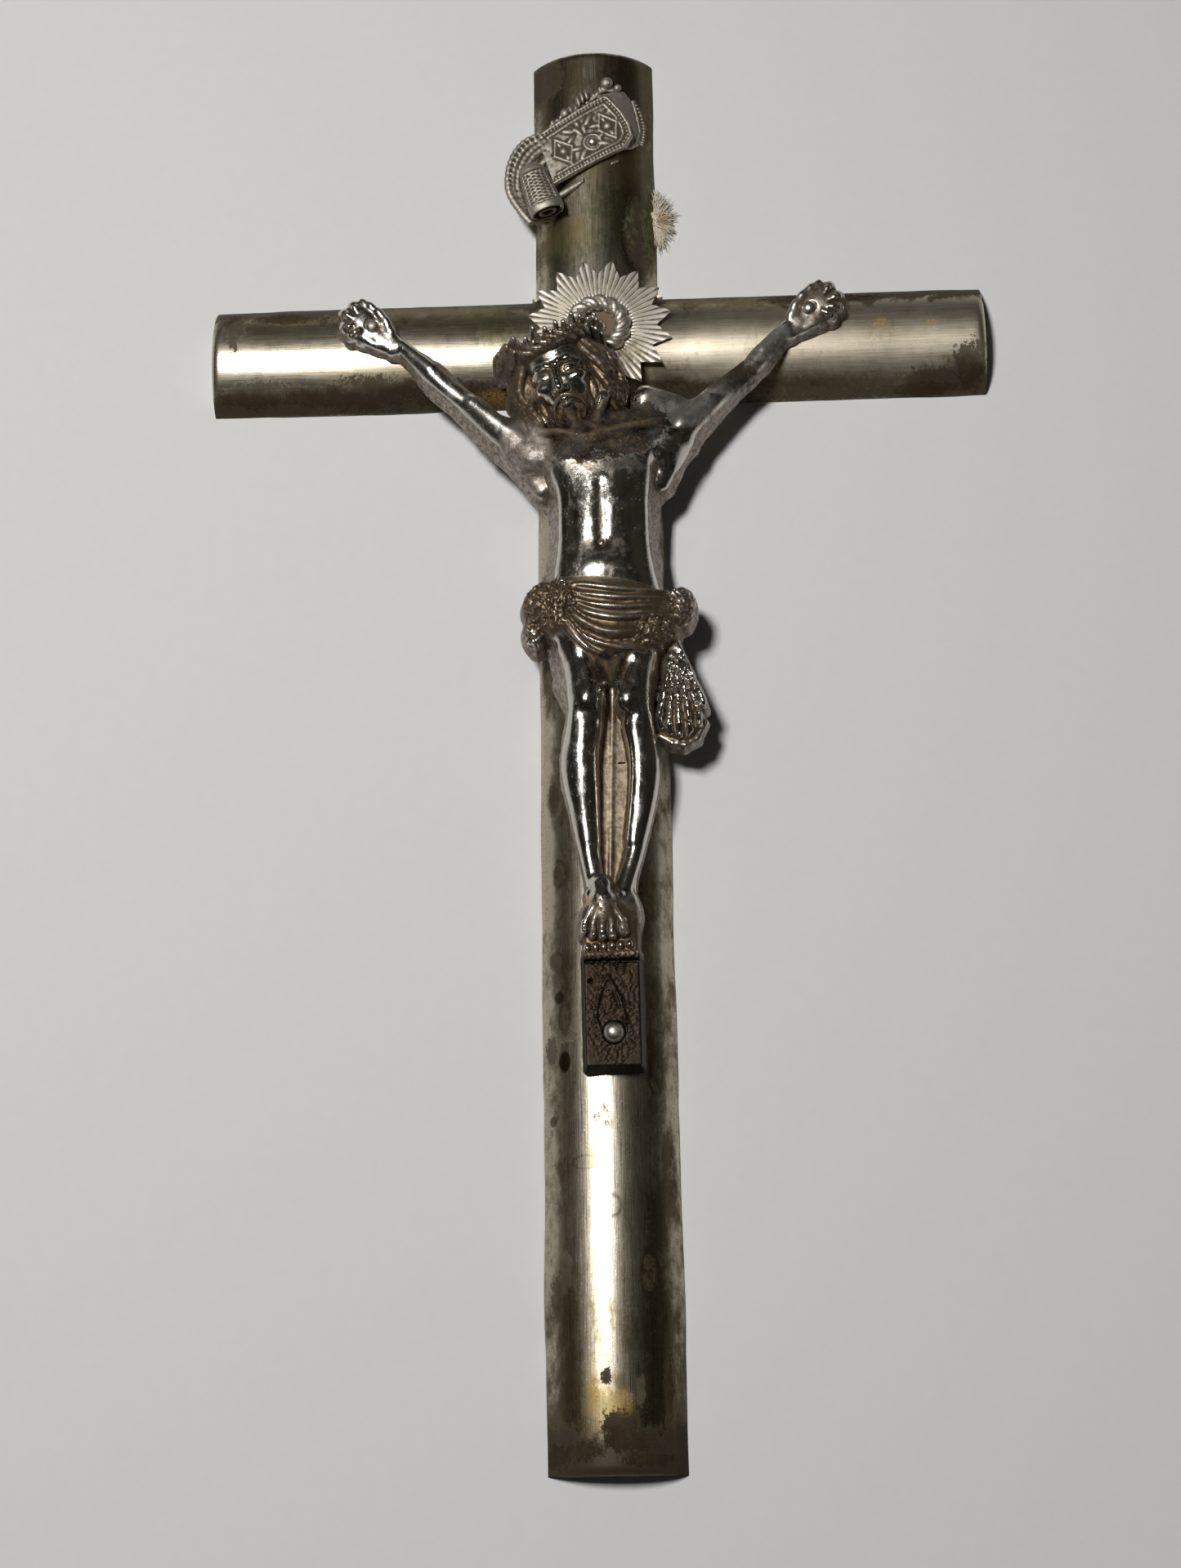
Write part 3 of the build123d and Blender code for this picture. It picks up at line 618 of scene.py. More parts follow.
def cloth_form(vol):
    """Loincloth: gathered at both hips, folds sweeping across, tail at the right hip."""
    vol.rods([(-11.8, -60.2, 4.2, 3.4), (-6.6, -59.8, 5.8, 3.3), (0.6, -60.6, 6.4, 3.2),
              (7.5, -61.2, 6, 3.3), (13.6, -61.4, 4.4, 3.2)], 1.6, CLOTH)
    vol.rods([(-8.8, -63.6, 5.2, 2.8), (-3, -64.6, 6.6, 2.8), (3, -66.4, 6.9, 2.8),
              (9, -66.6, 6, 2.9), (12.6, -65.6, 4.4, 2.4)], 1.6, CLOTH)
    vol.oval((3, -67.8, 6.6), (5.2, 2.6, 2.6), 1.4, CLOTH, -6)
    for points, r in FOLDS:
        width = r * (0.55 + 0.6 * np.sin(np.pi * np.linspace(0, 1, 30)))
        vol.limb(np.column_stack([curl(points, 30), width]), 0.45, CLOTH, samples=0, soft=0.25)
    for groove in GROOVES:
        vol.line(curl(groove, 10), 0.32, blend=0.5, relief=CLOTH, cut=True)
    # gathered knots at the hips
    vol.ovals([((-9.7, -59.6, 5.1), (4.9, 4.3, 4.1), 0.7, CLOTH, -12),
               ((-12.9, -64.6, 3.2), (2.2, 3.4, 2.6), 0.8, CLOTH, 8),
               ((-7.2, -59.6, 7), (3.2, 3, 2.6), 0.9, CLOTH, 20),
               ((15.6, -60.7, 4), (2.7, 4.1, 3.6), 0.5, CLOTH, -6)])
    for i, dz in enumerate((-2.2, -0.6, 1)):
        vol.rods([(13.4 + 0.5 * i, -58.2 + dz * 0.4, 7, 0.35),
                  (15.2 + 0.7 * i, -61 + dz * 0.6, 7.1 - 0.5 * i, 0.42),
                  (15 + 0.9 * i, -64, 5.6 - 0.4 * i, 0.3)], 0.3, CLOTH)
    vol.oval((9.8, -66.8, 6.2), (3.4, 2.6, 2.6), 0.8, CLOTH, 18)
    # hanging tail, pleated
    vol.rods([(13.4, -66, 2.8, 1.5), (14.2, -72, 2.6, 2.4), (14.8, -79, 2.4, 3.5),
              (14.8, -84, 2.2, 3.9)], 0.8, 0.55, 0.55)
    for i, (x, z) in enumerate(PLEATS):
        path = curl([(13.2 + 0.28 * i, -67, 3.6), (12.6 + 0.95 * i, -75, 4.6 + 0.25 * (i % 2)),
                     (x - 0.2, (z - 75) / 2 - 1.5, 4.9), (x, z + 0.8, 4)], 10)
        path = np.column_stack([curl(path, 24), np.linspace(0.35, 0.67, 24)])
        vol.limb(path, 0.28, 0.5, samples=0, soft=0.2)
    for i in range(5):
        path = curl([(13.35 + 0.28 * i, -69, 4.4), (13.1 + 0.95 * i, -76, 5.4),
                     (12.1 + 1.75 * i, -84, 5.1)], 8)
        vol.line(path, 0.22, 0.28, blend=0.3, relief=CLOTH, cut=True)
    vol.rods([(10.9, -86, 2.6, 0.6), (13.2, -87.5, 2.8, 0.65), (15.6, -88, 2.8, 0.65),
              (18, -86.6, 2.6, 0.6), (19.6, -83.4, 2.4, 0.55)], 0.4, CLOTH)


def tools(vol, **how):
    """The oval, rod and rods of a volume with some arguments set."""
    return [partial(tool, **how) for tool in (vol.oval, vol.rod, vol.rods)]


def hand_form(vol, side):
    """Domed open palm, knuckles round its rim and fingertips curled back onto it.

    side is -1 for the left hand, 1 for the right.
    """
    centre = (-45, 2.1, 0) if side < 0 else (42.9, 3, 0)
    shade = 0.05 if side < 0 else 0.30
    place = Place(centre, rot(-42 * side), side=side)
    rng = np.random.default_rng(61 + side)
    oval, rod, rods = tools(vol, place=place, relief=shade)
    # wrist, heel of the hand, dome of the palm
    rods([(0, -5.8, 1.9, 1.8), (0.1, -3.2, 1.6, 2.4), (0.5, -0.6, 1.2, 3.1)], 1, flat=0.75)
    oval((0.6, 1.3, 0.9), (4.5, 5.2, 3.1), 0.8, roll=-14 * side)
    oval((0.9, 3.3, 1.3), (4.3, 4.1, 3), 1, roll=-22 * side)
    oval((-1.9, -2.4, 2.8), (1, 2.3, 1), 0.8, roll=14 * side)
    oval((2.4, -2, 2.4), (1, 2.3, 1), 0.8, roll=-14 * side)
    for z in (-4.7, -3.6):
        rod((-1.7, z, 4), (1.8, z - 0.3, 3.9), 0.16, 0.16, 0.4, cut=True, relief=0.5)
    # thumb along the upper edge: x, z, depth, radius
    for *at, r in ((-2.1, -3, 3.1, 0.8), (-2.7, -1, 3.4, 0.9), (-2.9, 1.2, 3.5, 0.9),
                   (-2.7, 3.4, 3.4, 0.85), (-2.2, 5.2, 3.1, 0.8)):
        oval(at, (r, r * 1.6, r), 0.7, roll=6 * side)
    # four fingers (angle, reach, radius): knuckle on the rim, tip curled back onto the palm
    for angle, reach, r in ((-10, 5.9, 1.1), (20, 5.7, 1.15), (50, 4.9, 1.1), (80, 4.2, 1.0)):
        a = math.radians(angle + rng.uniform(-3, 3))
        sa, ca = math.sin(a), math.cos(a)
        reach = reach + rng.uniform(-0.1, 0.1)

        def at(out, depth, radius, over=0.0):
            return 0.6 + out * sa + over * ca, 1.0 + out * ca - over * sa, depth, radius

        rods([at(reach - 2.4, 3, r * 0.85), at(reach - 0.7, 2.7, r), at(reach, 2.3, r * 0.9)],
             0.75, relief=shade + 0.05)
        rods([at(reach - 0.5, 3.4, r * 0.62, 0.1), at(reach - 1.4, 3.8, r * 0.58, 0.2),
              at(reach - 2.3, 3.8, r * 0.5, 0.3)], 0.35, relief=shade + 0.08)
    for angle in (5, 35, 65):
        a = math.radians(angle)
        sa, ca = math.sin(a), math.cos(a)
        rod((0.6 + 2.9 * sa, 1.0 + 2.9 * ca, 4.4), (0.6 + 6.2 * sa, 1.0 + 6.2 * ca, 3.4),
            0.16, 0.2, 0.3, cut=True, relief=0.8)
    # seat of the rivet
    rod((0, 0, 5.35), (0, 0, 7.5), RIVET_SEAT, RIVET_SEAT, 0.15, cut=True, relief=0.5)


def face_form(vol):
    oval, rod, rods = tools(vol, place=HEAD[1], relief=FACE)
    oval((0, 2.2, -1.4), (6.2, 6.4, 6.4), 0.6)
    oval((0, -1.8, 1), (5, 6.4, 5), 1)
    oval((0, 3.4, 2.2), (4.7, 3.2, 3.3), 1)
    oval((0, -6.2, 2.4), (3.2, 2.2, 3), 1)
    for side in (-1, 1):
        side_oval, _, side_rods = tools(vol, place=HEAD[side], relief=FACE)
        # cheek and brow
        side_oval((3.3, -1.7, 3.7), (1.7, 1.3, 1.7), 0.9)
        side_rods([(4.3, 0.9, 3.6, 0.5), (2.9, 1.8, 4.9, 0.55), (1.2, 1.6, 5.6, 0.5),
                   (0.55, 1.1, 5.7, 0.45)], 0.6)
        # socket, closed lid and its line
        side_oval((2.3, 0.2, 6.35), (1.7, 1.05, 1.3), 1, relief=0.35, cut=True)
        side_oval((2.3, -0.1, 4.1), (1.35, 0.95, 1.25), 0.5)
        side_rods([(3.45, -0.35, 4.75, 0.12), (2.9, -0.62, 5.2, 0.13), (2.2, -0.72, 5.35, 0.13),
                   (1.45, -0.5, 5.2, 0.11)], 0.15, relief=0.9, cut=True)
        # wing of the nose, nostril
        side_oval((0.95, -3.2, 6.1), (0.6, 0.55, 0.75), 0.3)
        side_oval((0.55, -3.75, 6.35), (0.28, 0.2, 0.35), 0.1, relief=0.9, cut=True)
    # nose
    rods([(0, 1.5, 5.4, 0.55), (0, 0, 6.1, 0.55), (0, -1.8, 6.9, 0.62), (0, -3, 7.2, 0.78)], 0.55)
    # lips and the line between them
    rods([(-1.55, -5.25, 5.1, 0.25), (-0.6, -4.95, 5.75, 0.36), (0, -5.05, 5.85, 0.34),
          (0.6, -4.95, 5.75, 0.36), (1.55, -5.25, 5.1, 0.25)], 0.25)
    rods([(-1.3, -5.65, 5.15, 0.26), (0, -5.95, 5.7, 0.42), (1.3, -5.65, 5.15, 0.26)], 0.25)
    rods([(-1.5, -5.38, 5.45, 0.1), (0, -5.45, 6.15, 0.12), (1.5, -5.38, 5.45, 0.1)], 0.12,
         relief=0.9, cut=True)


def beard_form(vol):
    for side in (-1, 1):
        place = HEAD[side]
        # moustache
        for i in range(4):
            o = 0.22 * i
            path = curl([(0.25 + o * 0.6, -4.35 - o * 0.3, 6.2 - o * 0.3),
                         (1.4 + o * 0.5, -4.75 - o * 0.6, 5.7),
                         (2.5 + o * 0.3, -5.9 - o * 0.6, 4.7), (2.8 + o * 0.2, -7.4 - o, 4.1)], 9)
            vol.strand(path, 0.32, 0.31, 0.015, blend=0.18, relief=HAIR, place=place)
        # locks from the jaw down to two points
        for i in range(11):
            a = i / 10
            path = curl([(5.0 - 3.6 * a, -2.6 - 4.2 * a ** 0.8, 1.2 + 3.6 * a),
                         (4.4 - 2.9 * a, -6.6 - 1.6 * a, 2.2 + 2.7 * a),
                         (2.4 - 1.9 * a, -9.4 - 1.9 * a, 3.0 + 1.4 * a)], 12)
            for j in range(12):
                t = j / 11
                path[j, 0] += 0.28 * math.sin(7.0 * t + i * 1.3)
                path[j, 2] += 0.22 * math.sin(6.0 * t + i * 2.1)
            vol.strand(path, 0.62, 0.6, 0.03, blend=0.16, relief=HAIR, place=place)


def hair_form(vol, rng):
    """Locks from the parting, down both sides to the shoulders."""
    for side in (-1, 1):
        for i in range(15):
            a = i / 14
            path = curl([(0.25, 8.6 - 0.5 * a - 1.4 * (1 - a) ** 2, 3.2 - 9.0 * a),
                         (4.7 + 1.2 * a, 6.0 + 0.7 * a, 3.2 - 7.0 * a),
                         (7.0 + 0.7 * a, 1.0, 1.8 - 4.8 * a),
                         (6.5 + 1.3 * a, -5.0, 1.4 - 3.6 * a),
                         (5.6 + 2.0 * a, -10.0 - 1.5 * math.sin(3 * a), 0.0 - 2.0 * a)], 20)
            phase = rng.random() * 6
            for j in range(20):
                t = j / 19
                path[j, 0] += (0.35 + 0.85 * t) * math.sin(13 * t + phase) * min(1, 3 * t)
                path[j, 2] += 0.75 * t * math.cos(11 * t + phase * 1.3)
            for j in range(19):
                r = 0.60 + 0.22 * math.sin(math.pi * min(1, j / 19 * 1.1))
                vol.rod(path[j], path[j + 1], r, r, 0.12, HAIR, place=HEAD[side])


def wreath_form(vol, rng):
    """Four twisted stems round the head, with thorns."""
    for n in range(4):
        stem = []
        for j in range(81):
            t = 2 * math.pi * j / 80
            twist = 6 * t + n * 2 * math.pi / 4
            swell = 1.0 + 0.10 * math.cos(twist)
            z = 6.7 + 1.0 * math.sin(twist) - 0.9 * math.sin(t) + 0.3 * math.sin(5 * t + n)
            stem.append((7.7 * math.cos(t) * swell, z, -1.2 + 7.5 * math.sin(t) * swell,
                         0.52 + 0.1 * math.sin(9 * t + n)))
        vol.rods(stem, 0.1, 0.95, place=HEAD[1])
    for j in range(44):
        t = 2 * math.pi * (j + 0.4 * rng.random()) / 44
        out, front = math.cos(t), math.sin(t)
        base = (8.0 * out, 6.7 + 0.8 * (j % 3 - 1) - 0.9 * front, -1.2 + 7.8 * front)
        rise = ((j % 2) * 2 - 1) * (0.6 + 0.6 * rng.random())
        rise = abs(rise) if front > 0.3 else rise
        tip = (base[0] + 1.3 * out + 0.9 * (rng.random() - 0.5), base[1] + 1.7 * rise,
               base[2] + 0.9 * front)
        vol.rod(base, tip, 0.38, 0.16, 0.12, 0.95, place=HEAD[1])
        vol.oval(tip, (0.42, 0.55, 0.3), 0.1, 0.92, 25 * (j % 3 - 1), place=HEAD[1])


def head_form(vol):
    rng = np.random.default_rng(3)
    face_form(vol)
    beard_form(vol)
    hair_form(vol, rng)
    wreath_form(vol, rng)


# locks on the shoulders, left then right: how many, points of the first, shift to the last,
# dip of the middle ends, sway and its waves
SHOULDER_LOCKS = [
    (7, [(-15.6, -6, 3.4), (-16.6, -12.5, 3.6), (-14.8, -18, 4), (-13.4, -23.4, 5.4)],
     [(2.2, 0, 1.6), (2.4, 0, 2), (2.6, 0, 2.4), (1.9, 0, 1.8)], 1.0, 0.85, 12),
    (6, [(1.4, -6.4, 6.4), (3.2, -11.4, 6.6), (3.4, -16.4, 6.6), (3, -21.2, 6.8)],
     [(1.4, 0, -2.6), (1.6, 0, -3), (1.8, 0, -3), (2.4, 0, -2.4)], 1.2, 0.8, 11),
]


def side_locks(vol):
    """Locks that fall on the shoulders, in the figure's own axes."""
    rng = np.random.default_rng(5)
    for count, first, shift, dip, sway, waves in SHOULDER_LOCKS:
        for i in range(count):
            a = i / (count - 1)
            points = np.array(first, float) + np.array(shift, float) * a
            points[-1, 1] -= dip * math.sin(3 * a)
            path = curl(points, 16)
            phase = rng.random() * 6
            for j in range(16):
                t = j / 15
                path[j, 0] += sway * math.sin(waves * t + phase)
                path[j, 2] += 0.4 * math.cos(waves * t + phase)
            vol.strand(path, 0.85, 0.83, 0.02, blend=0.2, relief=HAIR)


def slope_map(vol):
    """How fast the casting's walls flare towards the back, per millimetre of depth."""
    x, z = vol.axes[0][:, None], vol.axes[1][None, :]

    def rise(v, a, b):
        t = np.clip((v - a) / (b - a), 0, 1)
        return t * t * (3 - 2 * t)

    def lumps(size):
        return noise(x[:, :, None], z[:, :, None], np.zeros((1, 1, 1)), size)[:, :, 0]

    head = rise(z, -27.0, -22.0) * (1 - rise(np.abs(x + 6), 13.5, 16.5))
    trunk = (rise(-z, 27.0, 33.0) * (1 - rise(-z, 50.0, 57.0))
             * (1 - rise(np.abs(x - 0.8), 14.0, 18.0)))
    uneven = 0.07 * lumps(4.5) + 0.04 * lumps(1.6)
    hip = rise(-z, 66.5, 70.0) * (1 - rise(-z, 74.0, 82.0)) * rise(-x, 3.0, 6.0)
    arm = (rise(np.abs(x), 13.0, 19.0) * (1 - rise(np.abs(x), 34.0, 39.0))
           * rise(z, -30.0, -26.0) * np.where(x < 0, 1.0, 0.6))
    slope = 0.17 + 0.20 * trunk + 0.26 * hip + 0.22 * arm - 0.10 * head + uneven * (1 - head)
    return slope.astype(np.float32)


# stippled places: centre, radii, grain size, depth of the grain
STIPPLE = [
    ((-9.2, -59.9, 6.8), (6.2, 5.8, 6.0), 0.62, 0.5),
    ((-12.8, -65.0, 4.5), (2.6, 4.2, 4.0), 0.6, 0.3),
    ((10.4, -66.6, 7.6), (4.4, 3.6, 4.4), 0.6, 0.5),
    ((15.0, -79.0, 4.6), (5.4, 10.5, 3.4), 0.7, 0.19),
    ((16.0, -60.8, 5.6), (3.6, 4.6, 4.0), 0.6, 0.28),
    ((1.0, -139.6, 4.9), (6.0, 11.5, 2.2), 0.36, 0.10),
    ((1.0, -129.4, 4.9), (6.0, 2.5, 2.2), 0.36, 0.10),
]


def stipple(vol):
    """Grain pressed into the surface inside soft ellipsoids."""
    for centre, radii, size, amount in STIPPLE:
        c, r = np.array(centre, float), np.array(radii, float)
        found = vol.window(c - r, c + r)
        if found is None:
            continue
        part, x, z, depth = found
        q = (((x - c[0]) / r[0]) ** 2 + ((z - c[1]) / r[1]) ** 2
             + ((depth - c[2]) / r[2]) ** 2)
        mask = np.clip((1 - q) * 2.5, 0, 1)
        grain = noise(x, z, depth, size) + 0.5 * noise(x, z, depth, size * 0.5, 3.3)
        vol.field[part] += (amount * mask * grain).astype(np.float32)


def draft(vol):
    """Runs the walls back to the cross, flaring, and remembers them."""
    slope = slope_map(vol) * vol.step
    field, relief = vol.field, vol.relief
    vol.wall = np.zeros(field.shape, np.float32)
    for j in range(field.shape[2] - 2, -1, -1):
        wall = field[:, :, j + 1] - slope
        take = wall < field[:, :, j]
        relief[:, :, j] = np.where(take, relief[:, :, j + 1], relief[:, :, j])
        vol.wall[:, :, j] = take
        field[:, :, j] = np.minimum(field[:, :, j], wall)


def figure_block(name, low, high, step, front, parts):
    """One block of the figure, between two (x, z) corners and up to depth front."""
    margin, overlap = 1.2, 0.2
    vol = grid((low[0] - margin, low[1] - margin, -0.8),
               (high[0] + margin, high[1] + margin, front), step * COARSE)
    for part in parts:
        part(vol)
    stipple(vol)
    draft(vol)
    # seat for the halo: radius and depth of its two steps; then the flat back
    x, z, depth = vol.grids()
    out = np.sqrt((x - HALO_X) ** 2 + (z - HALO_Z) ** 2)
    for radius, top in ((15.35, 0.95), (6.9, 1.95)):
        seat = -np.maximum(out - radius, depth - top)
        vol.field = np.maximum(vol.field, seat).astype(np.float32)
    vol.field = np.maximum(vol.field, (0.02 - depth)).astype(np.float32)
    whole = vol.field.copy()
    for i, along in enumerate((x, z)):
        vol.field = np.maximum(vol.field, (low[i] - overlap - along).astype(np.float32))
        vol.field = np.maximum(vol.field, (along - (high[i] + overlap)).astype(np.float32))
    return sculpted(name, vol, whole=whole)


left_hand, right_hand = partial(hand_form, side=-1), partial(hand_form, side=1)
# name, lower left and upper right corner, voxel, front, forms
BLOCKS = [
    ("head", (-23.0, -29.0), (9.5, 6.0), 0.195, 18.5, (body_form, side_locks, head_form)),
    ("hand_left", (-54.0, -8.0), (-39.0, 12.0), 0.15, 7.5, (body_form, left_hand)),
    ("hand_right", (37.0, -8.0), (52.5, 13.0), 0.15, 7.5, (body_form, right_hand)),
    ("loincloth", (-19.0, -91.0), (22.5, -54.5), 0.215, 13.0, (body_form, cloth_form)),
    ("feet", (-8.0, -153.0), (10.0, -112.0), 0.17, 9.5, (body_form, feet_form)),
    ("shins", (-12.0, -112.0), (13.0, -91.0), 0.25, 11.0, (body_form, feet_form)),
    ("trunk", (-23.0, -54.5), (22.5, -29.0), 0.25, 13.0, (body_form, cloth_form, side_locks)),
    ("arm_left", (-39.0, -29.0), (-23.0, 6.0), 0.22, 10.0,
     (body_form, left_hand, side_locks, head_form)),
    ("arm_right", (9.5, -29.0), (37.0, 6.0), 0.22, 10.0,
     (body_form, right_hand, side_locks, head_form)),
]
pieces = [figure_block("corpus_" + name, *rest) for name, *rest in BLOCKS]
for piece in pieces:
    register(piece, "corpus")


# =================================================================================================
# The pressed shell
# =================================================================================================
def wave(t, seed, size, n=64):
    """Smooth 1-D value noise in -1..1."""
    values = np.random.default_rng(seed).random(n) * 2 - 1
    u = np.asarray(t, float) / size + 200.0
    i = np.floor(u).astype(int)
    f = u - i
    f = f * f * (3 - 2 * f)
    return values[i % n] * (1 - f) + values[(i + 1) % n] * f


def across(width, radius, count):
    """Places across a beam, evenly spaced along its arc."""
    a = math.asin(width / radius)
    return radius * np.sin(np.linspace(-a, a, count))


def outward(limit, start):
    """Places from a corner out to an end, bunched at both, and the section's scale at each."""
    stop = limit - END
    n = max(4, int((stop - start) / SHELL_STEP))
    even = start + (stop - start) * np.linspace(0, 1, n + 1)[1:]
    near = start + np.array([0.12, 0.3, 0.55, 0.85, 1.2])
    even = np.concatenate([near, even[even > near[-1] + 0.3]])
    quarter = np.linspace(0, math.pi / 2, 7)[1:]
    places = np.concatenate([even, stop + END * np.sin(quarter), [limit] * 4])
    # the rounding takes 0.237 off the height, the flat end the rest
    scale = np.concatenate([np.ones(len(even)), 1 - 0.237 * (1 - np.cos(quarter)),
                            0.763 * np.array([0.72, 0.46, 0.22, 0.0])])
    return places, scale


def dents(x, z):
    """Shallow dents scattered over both beams."""
    rng = np.random.default_rng(77)
    total = np.zeros_like(x)
    for _ in range(46):
        if rng.random() < 0.66:
            cx, cz = rng.uniform(-10, 10), rng.uniform(-215, 60)
        else:
            cx, cz = rng.uniform(-74, 74), rng.uniform(-9, 9)
        r, deep = rng.uniform(2.5, 9.0), rng.uniform(0.03, 0.11)
        total += deep * np.exp(-((x - cx) / r) ** 2
                               - ((z - cz) / (r * rng.uniform(0.8, 2.2))) ** 2)
    return np.minimum(total, 0.22)


def shell():
    """Half-round cross pressed from one sheet, as a grid over its outline."""
    x_mid, z_mid = across(UP_HALF, UP_RADIUS, 57), across(BAR_HALF, BAR_RADIUS, 53)
    x_out, x_out_scale = outward(ARM, UP_HALF)
    z_top, z_top_scale = outward(TOP, BAR_HALF)
    z_low, z_low_scale = outward(BOTTOM, BAR_HALF)
    x_line = np.concatenate([-x_out[::-1], x_mid, x_out])
    x_scale = np.concatenate([x_out_scale[::-1], np.ones(len(x_mid)), x_out_scale])
    z_line = np.concatenate([-z_low[::-1], z_mid, z_top])
    z_scale = np.concatenate([z_low_scale[::-1], np.ones(len(z_mid)), z_top_scale])
    nx, nz = len(x_line), len(z_line)
    x, z = np.meshgrid(x_line, z_line, indexing="ij")
    up, bar = np.zeros((nx, nz), bool), np.zeros((nx, nz), bool)
    up[len(x_out):len(x_out) + len(x_mid), :] = True
    bar[:, len(z_low):len(z_low) + len(z_mid)] = True

    # heights of the two beams, blended where they cross
    up_high = np.sqrt(np.maximum(UP_RADIUS ** 2 - x ** 2, 0)) - UP_CENTRE
    bar_high = np.sqrt(np.maximum(BAR_RADIUS ** 2 - z ** 2, 0)) - BAR_CENTRE
    up_high = np.maximum(up_high, 0) * z_scale[None, :]
    bar_high = np.maximum(bar_high, 0) * x_scale[:, None]
    blend = 1.1
    h = np.maximum(blend - np.abs(up_high - bar_high), 0) / blend
    edge = np.minimum(np.clip(up_high / 1.0, 0, 1), np.clip(bar_high / 1.0, 0, 1))
    both = np.maximum(up_high, bar_high) + h * h * blend * 0.25 * edge
    high = np.where(up & bar, np.minimum(both, CREST), np.where(up, up_high, bar_high))
    high = np.where(up & bar & (bar_high <= 0.0) & (up_high > 0), up_high, high)

    # concave fillets in the four corners
    def fillet(away):
        t = np.clip(0.293 * CORNER + away * 0.707, 0, CORNER)
        return CORNER - np.sqrt(np.maximum(CORNER ** 2 - (CORNER - t) ** 2, 0))

    x_abs, z_abs = np.abs(x), np.abs(z)
    x_fillet = np.where(up, fillet(np.maximum(z_abs - BAR_HALF, 0)) * (z_abs >= BAR_HALF - 1e-6)
                        * (x_abs / UP_HALF) ** 8 * np.sign(x), 0)
    z_fillet = np.where(bar, fillet(np.maximum(x_abs - UP_HALF, 0)) * (x_abs >= UP_HALF - 1e-6)
                        * (z_abs / BAR_HALF) ** 8 * np.sign(z), 0)
    # the rim wanders a little away from the crossing; the side ends are drawn in
    x_rim = np.where(up & ~bar, (x_abs / UP_HALF) ** 3 * np.sign(x)
                     * (0.16 * wave(z + 40 * (x > 0), 21, 17.0) + 0.07 * wave(z, 22, 5.0)), 0)
    z_rim = np.where(bar & ~up, (z_abs / BAR_HALF) ** 3 * np.sign(z)
                     * (0.15 * wave(x + 60 * (z > 0), 23, 14.0) + 0.06 * wave(x, 24, 4.0)), 0)
    x_fade = np.clip((z_abs - BAR_HALF - 2) / 10, 0, 1)
    z_fade = np.clip((x_abs - UP_HALF - 2) / 10, 0, 1)
    bulge = 0.22 * np.exp(-((z + 195) / 16) ** 2) * x / UP_HALF * (up & ~bar)
    x_final = x + x_fillet + x_rim * x_fade + bulge
    z_final = z + z_fillet + z_rim * z_fade
    taper = np.clip((x_abs - 60) / 18.5, 0, 1)
    z_final = z_final * (1 - 0.012 * taper ** 2 * bar)
    high = high - dents(x, z) * np.clip(high / 3, 0, 1)

    # outer skin over the cells whose corners all lie on one beam
    def full(mask):
        return mask[:-1, :-1] & mask[1:, 1:] & mask[1:, :-1] & mask[:-1, 1:]

    cell = full(up) | full(bar)
    used = np.zeros((nx, nz), bool)
    for a, b in product((0, 1), repeat=2):
        used[a:nx - 1 + a, b:nz - 1 + b] |= cell
    index = np.full((nx, nz), -1)
    index[used] = np.arange(used.sum())
    i, j = np.nonzero(cell)
    quads = np.stack([index[i, j], index[i + 1, j], index[i + 1, j + 1], index[i, j + 1]], 1)
    outer = np.stack([x_final[used], -high[used], z_final[used]], 1)

    # inner skin: offset along the normals, flattened onto the back plane at the rim
    c = outer[quads]
    face_normals = (np.cross(c[:, 1] - c[:, 0], c[:, 3] - c[:, 0])
                    + np.cross(c[:, 3] - c[:, 2], c[:, 1] - c[:, 2]))
    normals = np.zeros_like(outer)
    for k in range(4):
        np.add.at(normals, quads[:, k], face_normals)
    normals /= np.maximum(np.linalg.norm(normals, axis=1), 1e-9)[:, None]
    inner = outer - normals * SHEET
    inner[:, 1] = np.minimum(inner[:, 1], 0.0)
    inner[outer[:, 1] > -1e-6, 1] = 0.0
    # strip that joins both skins along the open edges
    n = len(outer)
    edges = dict.fromkeys(e for a, b, c, d in quads for e in ((a, b), (b, c), (c, d), (d, a)))
    strip = [(b, a, a + n, b + n) for a, b in edges if (b, a) not in edges]
    faces = np.vstack([quads, quads[:, ::-1] + n, np.array(strip)])
    ob = mesh_object("shell_pressed", np.vstack([outer, inner]) * 0.001, faces)
    ob.data.set_sharp_from_angle(angle=math.radians(50))
    return ob


shell_ob = shell()
register(shell_ob, "cross_shell")


